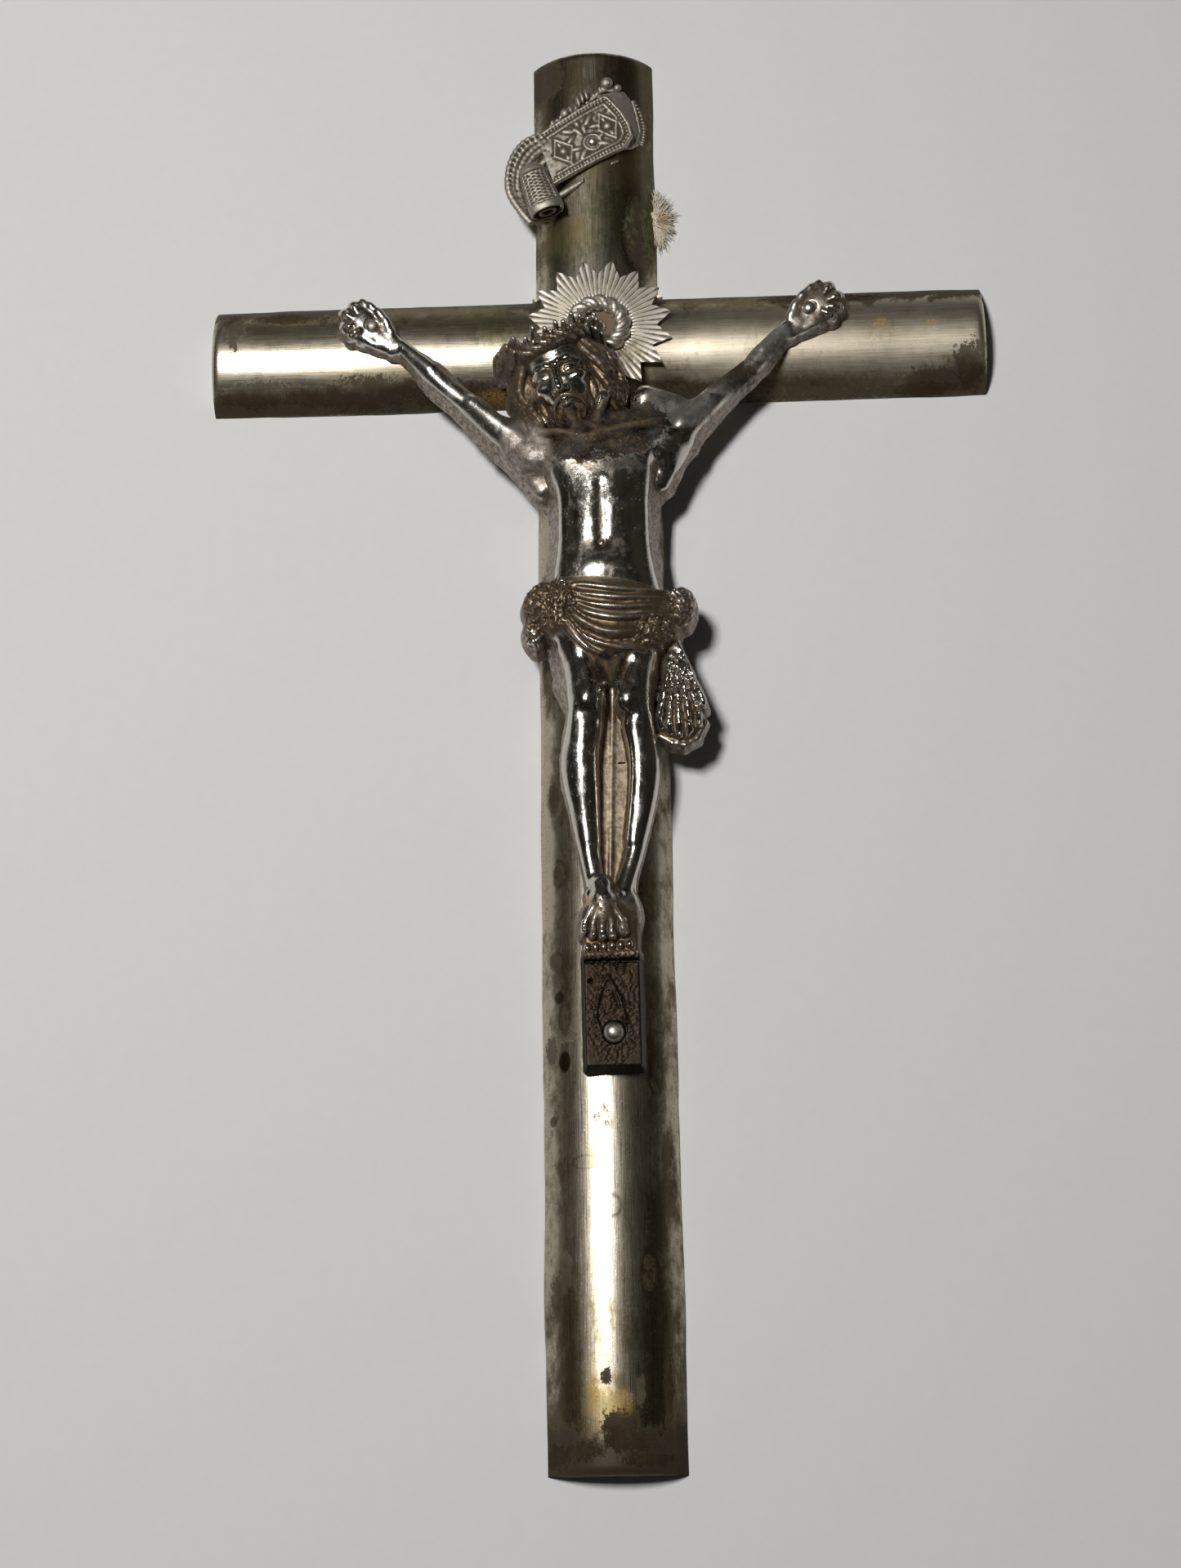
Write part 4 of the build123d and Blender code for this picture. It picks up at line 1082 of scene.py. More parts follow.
# =================================================================================================
# Halo
# =================================================================================================
def halo_plate():
    """Sixteen-pointed plate with four ribs to a point, round a flat middle."""
    tip, valley, points, ribs, per_rib = 14.95, 11.7, 16, 4, 10
    flat_radii, middle = [1.0, 3.0, 5.0, 6.4, 6.7, 7.0], 6.7
    count = points * ribs * per_rib
    alpha = math.pi / points
    uneven = np.random.default_rng(9).uniform(-0.25, 0.25, points)
    verts, faces = [], []
    for i in range(count):
        t = 2 * math.pi * i / count
        p = abs((t / (2 * alpha)) % 1.0 - 0.5) * 2      # 0 at a tip, 1 in a valley
        a = p * alpha
        r_out = tip * valley * math.sin(alpha) / (tip * math.sin(a)
                                                  + valley * math.sin(alpha - a))
        r_out += uneven[int(t / (2 * alpha)) % points] * (1 - p)
        ridge = (1 - abs((i % per_rib) / per_rib - 0.5) * 2) ** 0.8
        ring = []
        for r in flat_radii + list(np.linspace(7.3, r_out, 9)):
            if r <= middle:
                h = 0.62
            else:
                h = 0.50 + 0.36 * ridge * min(1, (r - middle) / 0.8) - 0.08 * (r - 7) / 8
            ring.append((r, h))
        ring += [(r_out - 0.02, 0.22), (r_out - 0.10, 0.0), (1.0, 0.0)]
        for r, h in ring:
            verts.append((HALO_X + r * math.sin(t), -(CROWN + h), HALO_Z + r * math.cos(t)))
    m = len(ring)
    for i in range(count):
        i2 = (i + 1) % count
        for j in range(m):
            j2 = (j + 1) % m
            faces.append((i * m + j, i * m + j2, i2 * m + j2, i2 * m + j))
    ob = mesh_object("halo_plate", np.array(verts) * 0.001, np.array(faces))
    ob.data.set_sharp_from_angle(angle=math.radians(28))
    return ob


def tube(path, radius, sides, closed=False):
    """Vertices and faces of a tube round a path; radius may vary; open ends get blunt caps."""
    path = np.array(path, float)
    n = len(path)
    r = np.broadcast_to(np.asarray(radius, float), (n,))
    if closed:
        along = np.roll(path, -1, 0) - np.roll(path, 1, 0)
    else:
        along = np.gradient(path, axis=0)
    along /= np.maximum(np.linalg.norm(along, axis=1), 1e-9)[:, None]
    ref = np.array([0.0, -1.0, 0.0] if abs(along[0, 1]) < 0.8 else [0.0, 0.0, 1.0])
    u = np.zeros_like(path)
    first = ref - along[0] * (ref @ along[0])
    u[0] = first / np.linalg.norm(first)
    for i in range(1, n):
        w = u[i - 1] - along[i] * (u[i - 1] @ along[i])
        u[i] = w / max(np.linalg.norm(w), 1e-9)
    w = np.cross(along, u)
    a = np.linspace(0, 2 * math.pi, sides, endpoint=False)
    verts = path[:, None, :] + r[:, None, None] * (np.cos(a)[None, :, None] * u[:, None, :]
                                                   + np.sin(a)[None, :, None] * w[:, None, :])
    verts = verts.reshape(-1, 3)
    faces = []
    for i in range(n if closed else n - 1):
        j = (i + 1) % n
        for s in range(sides):
            t = (s + 1) % sides
            faces.append((i * sides + s, i * sides + t, j * sides + t, j * sides + s))
    if not closed:
        last = (n - 1) * sides
        start, end = len(verts), len(verts) + 1
        verts = np.vstack([verts, path[0] - along[0] * r[0] * 0.4,
                           path[-1] + along[-1] * r[-1] * 0.4])
        for s in range(sides):
            t = (s + 1) % sides
            faces += [(start, t, s), (end, last + s, last + t)]
    return verts, faces


def join_tubes(name, tubes):
    verts, faces, offset = [], [], 0
    for own_verts, own_faces in tubes:
        verts.append(own_verts)
        faces += [tuple(i + offset for i in face) for face in own_faces]
        offset += len(own_verts)
    me = bpy.data.meshes.new(name)
    me.from_pydata([tuple(v) for v in np.vstack(verts)], [], faces)
    me.validate()
    me.polygons.foreach_set("use_smooth", np.ones(len(me.polygons), bool))
    bm = bmesh.new()
    bm.from_mesh(me)
    bmesh.ops.recalc_face_normals(bm, faces=bm.faces)
    bm.to_mesh(me)
    bm.free()
    return link_object(name, me)


def halo_rope():
    """Two strands twisted 6.5 turns round the ring, which joins them into one closed loop."""
    ring, twist, turns, lift = 4.95, (0.78, 0.52), 6.5, 1.32
    points = []
    for n in range(2):
        for j in range(300):
            t = 2 * math.pi * j / 300
            phase = turns * t + n * math.pi
            r = ring + twist[0] * math.cos(phase) + 0.05 * math.sin(3 * t)
            points.append((HALO_X + r * math.sin(t), -(CROWN + lift + twist[1] * math.sin(phase)),
                           HALO_Z + r * math.cos(t)))
    return join_tubes("halo_rope", [tube(np.array(points) * 0.001, 0.001, 12, closed=True)])


halo_ob = halo_plate()
rope_ob = halo_rope()
for halo_part in (halo_ob, rope_ob):
    register(halo_part, "halo")


# =================================================================================================
# Scroll
# =================================================================================================
def beam_depth(x):
    """Depth of the upright's surface."""
    return np.sqrt(np.maximum(UP_RADIUS ** 2 - np.minimum(np.abs(x), UP_HALF) ** 2, 0)) \
        - UP_CENTRE - CREST


def beam_at(x, z, lift):
    return x, z, float(beam_depth(np.array(x))) + lift


def face_depth(x, z):
    return 0.6 - 0.0085 * (x + 0.8) ** 2 + 0 * z


def face_at(x, z, lift=0.45):
    return x, z, float(face_depth(x, z)) + lift


def sheet(vol, outline, depth_at, thick, relief):
    """Bent sheet with a convex outline (anticlockwise x, z points)."""
    x, z, depth = vol.axes[0][:, None], vol.axes[1][None, :], vol.axes[2][None, None, :]
    side = np.full(vol.field.shape[:2], -1e3)
    points = np.array(outline, float)
    for a, b in zip(points, np.roll(points, -1, 0)):
        e = b - a
        n = np.array([e[1], -e[0]]) / np.linalg.norm(e)
        side = np.maximum(side, (x - a[0]) * n[0] + (z - a[1]) * n[1])
    edge = 0.25
    through = np.abs(depth - depth_at(x, z)[:, :, None]) - thick / 2 + edge
    side = side[:, :, None] + edge
    dist = (np.sqrt(np.maximum(side, 0) ** 2 + np.maximum(through, 0) ** 2)
            + np.minimum(np.maximum(side, through), 0) - edge)
    vol.put((slice(None),) * 3, dist.astype(np.float32), 0.2, relief)


def inset(outline, by):
    out = []
    for i, b in enumerate(outline):
        a, c = outline[i - 1], outline[(i + 1) % len(outline)]
        e0, e1 = (b - a) / np.linalg.norm(b - a), (c - b) / np.linalg.norm(c - b)
        n0, n1 = np.array([-e0[1], e0[0]]), np.array([-e1[1], e1[0]])
        s = n0 + n1
        out.append(b + s * by / max(s @ n0, 0.35))
    return np.array(out)


def along_outline(outline):
    """Points about 0.75 mm apart on an outline, which is left open at its last side."""
    out = [outline[0]]
    for a, b in zip(outline, outline[1:]):
        n = max(2, int(np.linalg.norm(b - a) / 0.25))
        out += [a + (b - a) * t for t in np.linspace(0, 1, n + 1)[1:]]
    return out[::3]


def scroll_back(vol):
    """Folded part behind the band, to the right, and its lower edge."""
    sheet(vol, [(3, 41.6), (8.2, 44), (10.2, 46.4), (10.7, 49.8), (9.6, 53.4), (6.6, 57),
                (1, 55.2)], lambda x, z: beam_depth(x) + 0.75 + 0 * z, 0.7, 0.85)
    for i in range(15):
        t = i / 14
        x, z = 10.1 + 0.75 * math.sin(math.pi * t) - 1.3 * t * t, 45.6 + 9.6 * t
        vol.oval(beam_at(x, z, 1.2), (0.32, 0.32, 0.3), 0.12, 0.55)
    vol.line([beam_at(x, z, 1.15) for x, z in ((8.4, 55.2), (9.3, 51.6), (9.8, 48.4), (9.0, 45.6))],
             0.24, blend=0.2, relief=0.7)
    low = curl([(-7, 33, -0.1), (-3.6, 35, 0.15), (0.6, 37.6, 0.15), (4.8, 40.6, -0.4)], 16)
    for j in range(15):
        vol.rod(low[j] - (0, 0, 0.6), low[j + 1] - (0, 0, 0.6), 0.62, 0.55, 0.3, 0.35, 0.8)
        if j % 2:
            vol.rod(low[j] + (0, 0.5, 0), low[j] + (0, -0.7, 0.1), 0.12, 0.12, 0.2, 0.8, cut=True)


def scroll_band(vol):
    """Bowed band with a double rim and a row of beads."""
    outline = np.array([(-8.3, 34.6), (6.9, 43), (8.3, 45.8), (7.7, 48.4), (6.1, 51.4),
                        (2.9, 55.3), (-1, 53.2), (-11.6, 46.6)], float)
    sheet(vol, outline, face_depth, 0.95, 0.35)
    for by, r in ((0.32, 0.3), (1.75, 0.2)):
        rim = [face_at(*p) for p in along_outline(inset(outline, by))]
        vol.line(rim, r, blend=0.16, relief=0.1)
    for p in along_outline(inset(outline, 0.95)):
        vol.oval(face_at(*p, 0.5), (0.33, 0.33, 0.34), 0.08, 0.1)


def scroll_ornament(vol):
    """Leaves and lozenges either side of the rivet, along the band's slant."""
    slant = 31.0
    ca, sa = math.cos(math.radians(slant)), math.sin(math.radians(slant))

    def at(a, b, lift=0.45):
        return face_at(-1.3 + a * ca - b * sa, 45.2 + a * sa + b * ca, lift)

    for a0 in (-5.6, 5.2):
        corners = [(a0 - 2.1, 0), (a0, 3.3), (a0 + 2.1, 0), (a0, -3.3), (a0 - 2.1, 0)]
        vol.line([at(*p) for p in corners], 0.3, blend=0.2, relief=0.1)
        vol.oval(at(a0, 0, 0.5), (0.8, 0.8, 0.5), 0.2, 0.1)
        for s in (-1, 1):
            vol.oval(at(a0, s * 1.8), (0.42, 0.6, 0.3), 0.15, 0.2, slant)
    for s in (-1, 1):
        for b, sb in ((3.3, 1), (-3.0, -1)):
            vol.oval(at(s * 2.4, b, 0.42), (1.45, 0.6, 0.42), 0.15, 0.1, slant + s * sb * 34)
            vol.oval(at(s * 2.9, b * 0.42, 0.42), (1.1, 0.45, 0.36), 0.15, 0.15,
                     slant - s * sb * 20)
        vol.oval(at(s * 0.75, 2.2, 0.42), (0.5, 1.2, 0.36), 0.15, 0.15, slant - s * 22)
    vol.oval(at(0, 3.9), (0.55, 0.7, 0.38), 0.15, 0.1, slant)
    ring = [at(1.8 * math.cos(t) + 0.55, 1.8 * math.sin(t) - 1.6)
            for t in np.linspace(0, 2 * math.pi, 19)]
    vol.line(ring, 0.24, blend=0.15, relief=0.2)


def scroll_curl(vol):
    """Curl at the left: the band bends down and away, its border running on."""
    edge = curl([(-11.2, 46.9, 0.1), (-14.9, 44.4, 0.3), (-17.1, 40.4, 0.4), (-17.8, 36, 0.3),
                 (-17.2, 32.6, 0), (-15, 29, -0.5), (-12.8, 26.2, -0.8)], 22)
    inner = curl([(-9.6, 44.2, -0.3), (-12.2, 42, -0.2), (-14, 38.8, -0.2), (-14.7, 35.4, -0.4),
                  (-14.3, 32.4, -0.8), (-12.9, 30, -1.2), (-11.2, 27.6, -1.5)], 22)
    foot = curl([(-8.2, 36.8, -1.2), (-9.4, 35, -1.6), (-10.2, 33.4, -1.8), (-10.7, 31.8, -2),
                 (-10.7, 30.2, -2.2), (-10.3, 29, -2.3), (-9.6, 27.8, -2.4)], 22)
    for j in range(21):
        a0, a1, b0, b1, c0, c1 = *edge[j:j + 2], *inner[j:j + 2], *foot[j:j + 2]
        for u in (0.0, 0.33, 0.66, 1.0):
            vol.rod(a0 + (b0 - a0) * u, a1 + (b1 - a1) * u, 0.55, 0.55, 0.45, 0.4)
            vol.rod(b0 + (c0 - b0) * u, b1 + (c1 - b1) * u, 0.55, 0.55, 0.6, 0.8)
        border = (0.15, 0.1, 0.45)
        vol.rod(a0 + border, a1 + border, 0.2, 0.2, 0.25, 0.25)
        vol.oval(a0 * 0.78 + b0 * 0.22 + (0, 0, 0.52), (0.28, 0.28, 0.26), 0.12, 0.25)
        vol.rod(b0 + (0, 0, 0.5), b1 + (0, 0, 0.5), 0.22, 0.22, 0.15, 0.3)
    # outer wall under the curl's edge down to the beam's flank
    for j in range(2, 19):
        vol.rod(edge[j], edge[j] + (0.9, -0.3, -2.8), 0.45, 0.4, 0.5, 0.9)


def scroll_roll(vol):
    """Rolled end with a framed, cross-hatched panel and a hollow mouth at its lower end."""
    top, bottom = np.array([-12.3, 36.4, 1.6]), np.array([-9.9, 29.2, 1.4])
    along = (bottom - top) / np.linalg.norm(bottom - top)
    side = np.array([-along[1], along[0], 0.0])
    side = side / np.linalg.norm(side)
    squeeze = 0.68
    vol.rod(top, bottom, 2.9, 3.7, 0.35, 0.45, squeeze)
    lift = (0, 0, 0.1)
    vol.rod(bottom - along * 0.8, bottom + along * 4, 3, 3.1, 0.1, 1, 0.66, cut=True)
    vol.rod(bottom - along * 2 + lift, bottom + along * 1.2 + lift, 1.8, 1.9, 0.1, 0.9, squeeze)
    vol.rod(bottom - along * 2 + lift, bottom + along * 4 + lift, 1.2, 1.3, 0.08, 1, 0.66,
            cut=True)
    # square end, cut only at the lower left; float64 is kept for the steps that follow
    x, z, depth = vol.grids()
    end = np.float32((x - bottom[0]) * along[0] + (z - bottom[1]) * along[1] - 1.5 + 0 * depth)
    corner = (x < -6.8) & (z < 30)
    vol.field = np.maximum(vol.field, np.where(corner, end.astype(float), -50.0))

    def panel(s, degrees):
        """s along the roll 0..1, degrees round it (0 faces the viewer)."""
        r = 2.9 + 0.8 * s
        a = math.radians(degrees)
        p = top + (bottom - top) * s + side * r * math.sin(a)
        return p[0], p[1], p[2] + squeeze * r * math.cos(a)

    for t in (-58, 46):
        for s in np.linspace(0.02, 0.98, 12)[:-1]:
            vol.rod(panel(s, t), panel(s + 0.088, t), 0.24, 0.24, 0.12, 0.1)
    for s in (0.04, 0.98):
        vol.line([panel(s, t) for t in np.linspace(-58, 46, 7)], 0.26, blend=0.12, relief=0.1)
    for i in range(-3, 9):
        for slope in (1, -1)[::-1]:
            hatch = []
            for w in np.linspace(0, 1, 8):
                s = 0.12 + (i + (w if slope > 0 else 1 - w) * 2.2) * 0.105
                if 0.08 <= s <= 0.94:
                    hatch.append(panel(s, -50 + 88 * w))
            vol.line(hatch, 0.17, blend=0.1, relief=0.15)
    for s in np.linspace(0.1, 0.9, 9):
        vol.oval(panel(s, -68), (0.3, 0.3, 0.28), 0.08, 0.2)


def scroll_fringe(vol):
    """Knobs and ragged fringe along the far edge."""
    vol.ovals([((-2.9, 54, 0.7), (0.5, 1.4, 0.75), 0.15, 0.1, 12),
               ((-2.1, 54.8, 0.9), (0.5, 1.4, 0.75), 0.15, 0.1, 12),
               ((-1.2, 55.5, 0.8), (0.5, 1.4, 0.75), 0.15, 0.1, 12),
               ((-5.7, 51.6, 0.3), (0.95, 1.05, 0.8), 0.25, 0.4),
               ((-4.6, 52.4, 0.1), (0.7, 1, 0.6), 0.3, 0.6),
               ((3.1, 58.4, 0.4), (1.25, 1.3, 1), 0.2, 0.25),
               ((3.5, 58, 1.2), (0.4, 0.45, 0.3), 0.15, 0.2),
               ((5.3, 57.4, 0), (0.8, 0.8, 0.7), 0.3, 0.5)])
    edge = curl([(-8.6, 48.9, -0.3), (-6.6, 50.5, -0.3), (-3.6, 52.6, -0.3), (-0.8, 54.4, -0.2),
                 (0.9, 55.7, -0.1), (2.4, 57, -0.2), (4.6, 56.9, -0.5), (6.2, 55.4, -0.9)], 26)
    rng = np.random.default_rng(15)
    for j in range(25):
        vol.rod(edge[j], edge[j + 1], 0.5, 0.5, 0.3, 0.9)
        shift = (rng.uniform(-0.3, 0.3), 0.35 + rng.uniform(-0.1, 0.5),
                 0.25 + rng.uniform(0, 0.2))
        vol.oval(edge[j] + shift, (0.3, 0.42, 0.3), 0.12, 0.65)


def scroll():
    vol = grid((-20.5, 21.5, -7.2), (14.0, 62.0, 6.6), 0.17 * COARSE)
    for form in (scroll_back, scroll_band, scroll_ornament, scroll_curl, scroll_roll,
                 scroll_fringe):
        form(vol)
    # worn, uneven casting
    x, z, depth = vol.grids()
    vol.field += (0.05 * noise(x, z, depth, 0.8)).astype(np.float32)
    # sits on the beam
    beam_x = vol.axes[0]
    under = np.where(np.abs(beam_x) < 12.4, (beam_depth(beam_x) + 0.06).astype(float), -30.0)
    vol.field = np.maximum(vol.field, under[:, None, None] - depth).astype(np.float32)
    # seat of the rivet
    vol.rod((0, 44.1, 0.95 + RIVET_SEAT), (0, 44.1, 6), RIVET_SEAT, RIVET_SEAT, 0.2, 0.7,
            cut=True)
    return sculpted("scroll_cast", vol, fine=0.4, wide=1.4)


scroll_ob = scroll()
register(scroll_ob, "scroll")


# =================================================================================================
# Cord remnant, in (x, y, z): three twisted yarns inside the hollow, a frayed tuft outside
# =================================================================================================
def cord():
    rng = np.random.default_rng(41)
    middle = curl([(5.0, -1.6, 41.0), (7.0, -1.5, 38.2), (8.6, -1.3, 35.2), (10.2, -0.95, 32.6),
                   (12.0, -0.85, 30.9), (13.2, -0.75, 30.0)], 60)
    yarn_offset = 0.36
    tubes = []
    for n in range(3):
        yarn = []
        for j, p in enumerate(middle):
            phase = j * 0.42 + n * 2 * math.pi / 3
            out, up = yarn_offset * math.cos(phase), yarn_offset * math.sin(phase)
            yarn.append(p + np.array([out * 0.7, up, out * 0.7]))
        tubes.append(tube(np.array(yarn) * 0.001, 0.00034, 8))
    # clumps of fibres: angle, length, bend, lift
    root = np.array([12.6, -0.75, 29.9])
    clumps = []
    for degrees in np.linspace(-88, 84, 15):
        a = math.radians(degrees + rng.uniform(-5, 5))
        tall = abs(math.sin(a))
        clumps.append((a, (3.4 + 2.0 * tall) * rng.uniform(0.86, 1.06), rng.normal(0, 0.35),
                       rng.uniform(-0.9, 0.3)))
    for i in range(420):
        a, length, bend, lift = clumps[i % len(clumps)]
        a += rng.normal(0, 0.085)
        length *= rng.uniform(0.62, 1.05)
        ahead = np.array([math.cos(a), 0, math.sin(a)])
        side = np.array([-ahead[2], 0, ahead[0]])
        start = root + np.array([rng.normal(0, 0.3), rng.uniform(-0.35, 0.35),
                                 rng.normal(0, 0.7) + 1.1 * math.sin(a)])
        bend += rng.normal(0, 0.12)
        lift += rng.normal(0, 0.22)
        wavy = rng.uniform(0.1, 0.45)
        fibre = []
        for t in np.linspace(0, 1, 7):
            p = start + ahead * length * t + side * (
                bend * length * t * t * 0.6 + wavy * math.sin(5.0 * t + (i % len(clumps))) * t * 0.5)
            p[1] += lift * t * (1 - 0.3 * t) + 0.14 * math.sin(8 * t + i)
            p[1] = min(p[1], -0.12)
            fibre.append(p)
        r = rng.uniform(0.06, 0.12)
        tubes.append(tube(np.array(fibre) * 0.001, r * 0.001 * np.linspace(1.0, 0.5, 7), 5))
    return join_tubes("cord_frayed", tubes)


cord_ob = cord()
register(cord_ob, "cord_end")


# =================================================================================================
# Materials. Masks run from 0 to 1 and are built as sums of weighted masks and noises; the number
# beside each term is its weight. Places are (x, z, radius across, radius up) in millimetres.
# =================================================================================================
def arithmetic(kind):
    """The operator that makes a Math node of this kind, and its reflected twin."""
    return (lambda a, b: a.graph.math(kind, a, b)), (lambda a, b: a.graph.math(kind, b, a))


class Signal:
    """An output socket that takes arithmetic: each operator adds a Math node."""
    __add__, __radd__ = arithmetic("ADD")
    __sub__, __rsub__ = arithmetic("SUBTRACT")
    __mul__ = arithmetic("MULTIPLY")[0]
    __truediv__ = arithmetic("DIVIDE")[0]
    __pow__ = arithmetic("POWER")[0]

    def __init__(self, graph, socket):
        self.graph, self.socket = graph, socket

    def __abs__(self):
        return self.graph.math("ABSOLUTE", self)

    def sqrt(self):
        return self.graph.math("SQRT", self)

    def vary(self, amount):
        """A noise's swing about its middle, scaled."""
        return (self - 0.5) * amount

    def ramp(self, start, end, low=0.0, high=1.0):
        """low at start, high at end, smooth between; start may lie above end."""
        n = self.graph.node("ShaderNodeMapRange", interpolation_type="SMOOTHSTEP")
        self.graph.put(n.inputs["Value"], self)
        for key, value in (("From Min", start), ("From Max", end), ("To Min", low),
                           ("To Max", high)):
            n.inputs[key].default_value = value
        return Signal(self.graph, n.outputs[0])


def largest(*signals):
    out = signals[0]
    for signal in signals[1:]:
        out = out.graph.math("MAXIMUM", out, signal)
    return out


def mix(mask, under, over, kind, first, result):
    graph = mask.graph
    n = graph.node("ShaderNodeMix", data_type=kind)
    graph.put(n.inputs["Factor"], mask)
    graph.put(n.inputs[first], under)
    graph.put(n.inputs[first + 1], over)
    return Signal(graph, n.outputs[result])


def mix_color(mask, under, over):
    return mix(mask, under, over, "RGBA", 6, 2)


def mix_value(mask, under, over):
    return mix(mask, under, over, "FLOAT", 2, 0)


def off_centre(x, z, spot):
    """Squared distance from a spot (x, z, rx, rz), 1 on its outline."""
    cx, cz, rx, rz = spot
    return ((x - cx) / rx) ** 2.0 + ((z - cz) / rz) ** 2.0


class Graph:
    """Short-hand for building a node material."""

    def __init__(self, name):
        self.mat = bpy.data.materials.new(name)
        self.mat.use_nodes = True
        self.tree = self.mat.node_tree
        self.tree.nodes.clear()
        self.out = self.node("ShaderNodeOutputMaterial")
        # object position in millimetres
        scaled = self.node("ShaderNodeVectorMath", operation="SCALE")
        self.link(self.node("ShaderNodeTexCoord").outputs["Object"], scaled.inputs[0])
        scaled.inputs["Scale"].default_value = 1000.0
        self.position = scaled.outputs[0]

    def node(self, kind, **settings):
        n = self.tree.nodes.new(kind)
        for key, value in settings.items():
            setattr(n, key, value)
        return n

    def link(self, a, b):
        self.tree.links.new(a, b)

    def put(self, socket, value):
        """Links a signal or sets a number or colour."""
        if isinstance(value, Signal):
            self.link(value.socket, socket)
        elif isinstance(value, tuple):
            socket.default_value = value + (1.0,)
        else:
            socket.default_value = value

    def math(self, kind, a, b=0.0):
        n = self.node("ShaderNodeMath", operation=kind)
        self.put(n.inputs[0], a)
        self.put(n.inputs[1], b)
        return Signal(self, n.outputs[0])

    def xyz(self):
        n = self.node("ShaderNodeSeparateXYZ")
        self.link(self.position, n.inputs[0])
        return [Signal(self, socket) for socket in n.outputs]

    def noise(self, scale, detail, rough, stretch=(1, 1, 1), shift=(0, 0, 0)):
        m = self.node("ShaderNodeMapping")
        self.link(self.position, m.inputs["Vector"])
        m.inputs["Scale"].default_value = stretch
        m.inputs["Location"].default_value = shift
        n = self.node("ShaderNodeTexNoise")
        self.link(m.outputs[0], n.inputs["Vector"])
        n.inputs["Scale"].default_value = scale
        n.inputs["Detail"].default_value = detail
        n.inputs["Roughness"].default_value = rough
        return Signal(self, n.outputs[0])

    def attr(self, name):
        return Signal(self, self.node("ShaderNodeAttribute", attribute_name=name).outputs["Fac"])

    def facing(self):
        """1 where the surface faces the viewer (-Y), 0 on walls, negative behind."""
        s = self.node("ShaderNodeSeparateXYZ")
        self.link(self.node("ShaderNodeNewGeometry").outputs["Normal"], s.inputs[0])
        return Signal(self, s.outputs[1]) * -1.0

    def blob(self, *spot, soft):
        """Soft elliptical mask round a place on the front."""
        x, _, z = self.xyz()
        return off_centre(x, z, spot).ramp(1.0 - soft, 1.0 + soft, 1.0, 0.0)

    def blobs(self, spots, soft):
        return largest(*[self.blob(*spot, soft=soft) for spot in spots])

    def bump(self, shader, height, strength, distance):
        b = self.node("ShaderNodeBump")
        b.inputs["Strength"].default_value = strength
        b.inputs["Distance"].default_value = distance
        self.put(b.inputs["Height"], height)
        self.link(b.outputs[0], shader.inputs["Normal"])

    def finish(self, color, rough, metal, height, strength, distance, spec=0.5):
        """Metal or fibre surface; distance is the bump's height in metres."""
        p = self.node("ShaderNodeBsdfPrincipled")
        self.put(p.inputs["Base Color"], color)
        self.put(p.inputs["Roughness"], rough)
        self.put(p.inputs["Metallic"], metal)
        self.put(p.inputs["Specular IOR Level"], spec)
        self.bump(p, height, strength, distance)
        self.link(p.outputs[0], self.out.inputs["Surface"])
        return self.mat


SHELL_SPOTS = [
    (-9.5, -52.0, 2.4, 5.0), (-9.3, -96.0, 2.0, 6.0), (-9.0, -111.0, 1.4, 2.6),
    (-1.5, -158.0, 2.2, 3.0), (6.5, -186.0, 1.6, 4.0), (-60.0, 8.0, 9.0, 3.2),
    (-30.0, -9.0, 12.0, 2.4), (40.0, 9.5, 15.0, 2.2), (70.0, -8.0, 8.0, 3.0),
    (9.0, 24.0, 3.0, 9.0), (-10.0, 62.0, 4.0, 5.0), (-8.2, -139.0, 1.1, 3.2),
    (-9.6, -128.0, 1.3, 1.6), (8.4, -150.0, 1.2, 4.0), (-10.4, -70.0, 1.6, 9.0),
    (10.6, -168.0, 1.3, 8.0)]
DARK_STAINS = [
    (-63.9, 7.4, 5.0, 1.6), (-46.0, -9.0, 9.0, 2.3), (-69.0, -8.8, 7.0, 1.8),
    (-57.0, -9.4, 6.0, 1.3), (-30.0, -9.6, 7.0, 1.6), (-74.0, 4.0, 2.0, 4.0),
    (46.0, 8.6, 10.0, 1.6), (75.0, -7.0, 2.6, 3.6), (0.8, -211.8, 2.8, 2.0),
    (2.6, -214.8, 3.4, 1.9), (-5.4, -216.6, 2.8, 1.6), (-10.4, -217.8, 2.2, 1.8),
    (6.5, -218.4, 4.0, 1.0), (-1.5, -204.0, 0.8, 1.2), (4.6, -206.5, 0.7, 2.0),
    (-8.6, -185.5, 0.8, 3.0), (-10.2, -190.0, 1.0, 3.4), (-7.6, -142.2, 1.6, 1.0),
    (-10.8, -145.0, 0.9, 2.4), (-9.8, -96.0, 0.9, 2.6), (-9.0, -111.0, 0.8, 1.4),
    (9.6, -205.0, 0.7, 5.0), (66.0, -11.0, 5.0, 0.9)]
OLIVE_STAINS = [
    (-55.6, -3.6, 4.6, 1.4), (57.1, 0.6, 2.4, 2.6), (67.5, 0.8, 1.4, 0.8),
    (-34.0, 6.6, 15.0, 3.0), (-66.0, 5.6, 10.0, 3.0), (-44.0, -6.4, 9.0, 1.6),
    (-4.6, -206.0, 1.4, 5.0), (-1.0, -209.0, 3.6, 2.6), (-3.4, -165.0, 1.2, 2.2),
    (28.0, 8.0, 12.0, 1.8), (-20.0, 4.0, 6.0, 3.4), (4.0, 40.0, 5.0, 5.0), (-5.0, 24.0, 5.0, 4.0)]
VERDIGRIS = [(-20.5, 0.5, 5.0, 5.5), (-23.5, 8.0, 5.0, 3.0), (11.4, 27.0, 2.0, 10.0),
             (3.0, 27.0, 6.0, 8.0), (-6.0, 20.0, 6.0, 4.0)]
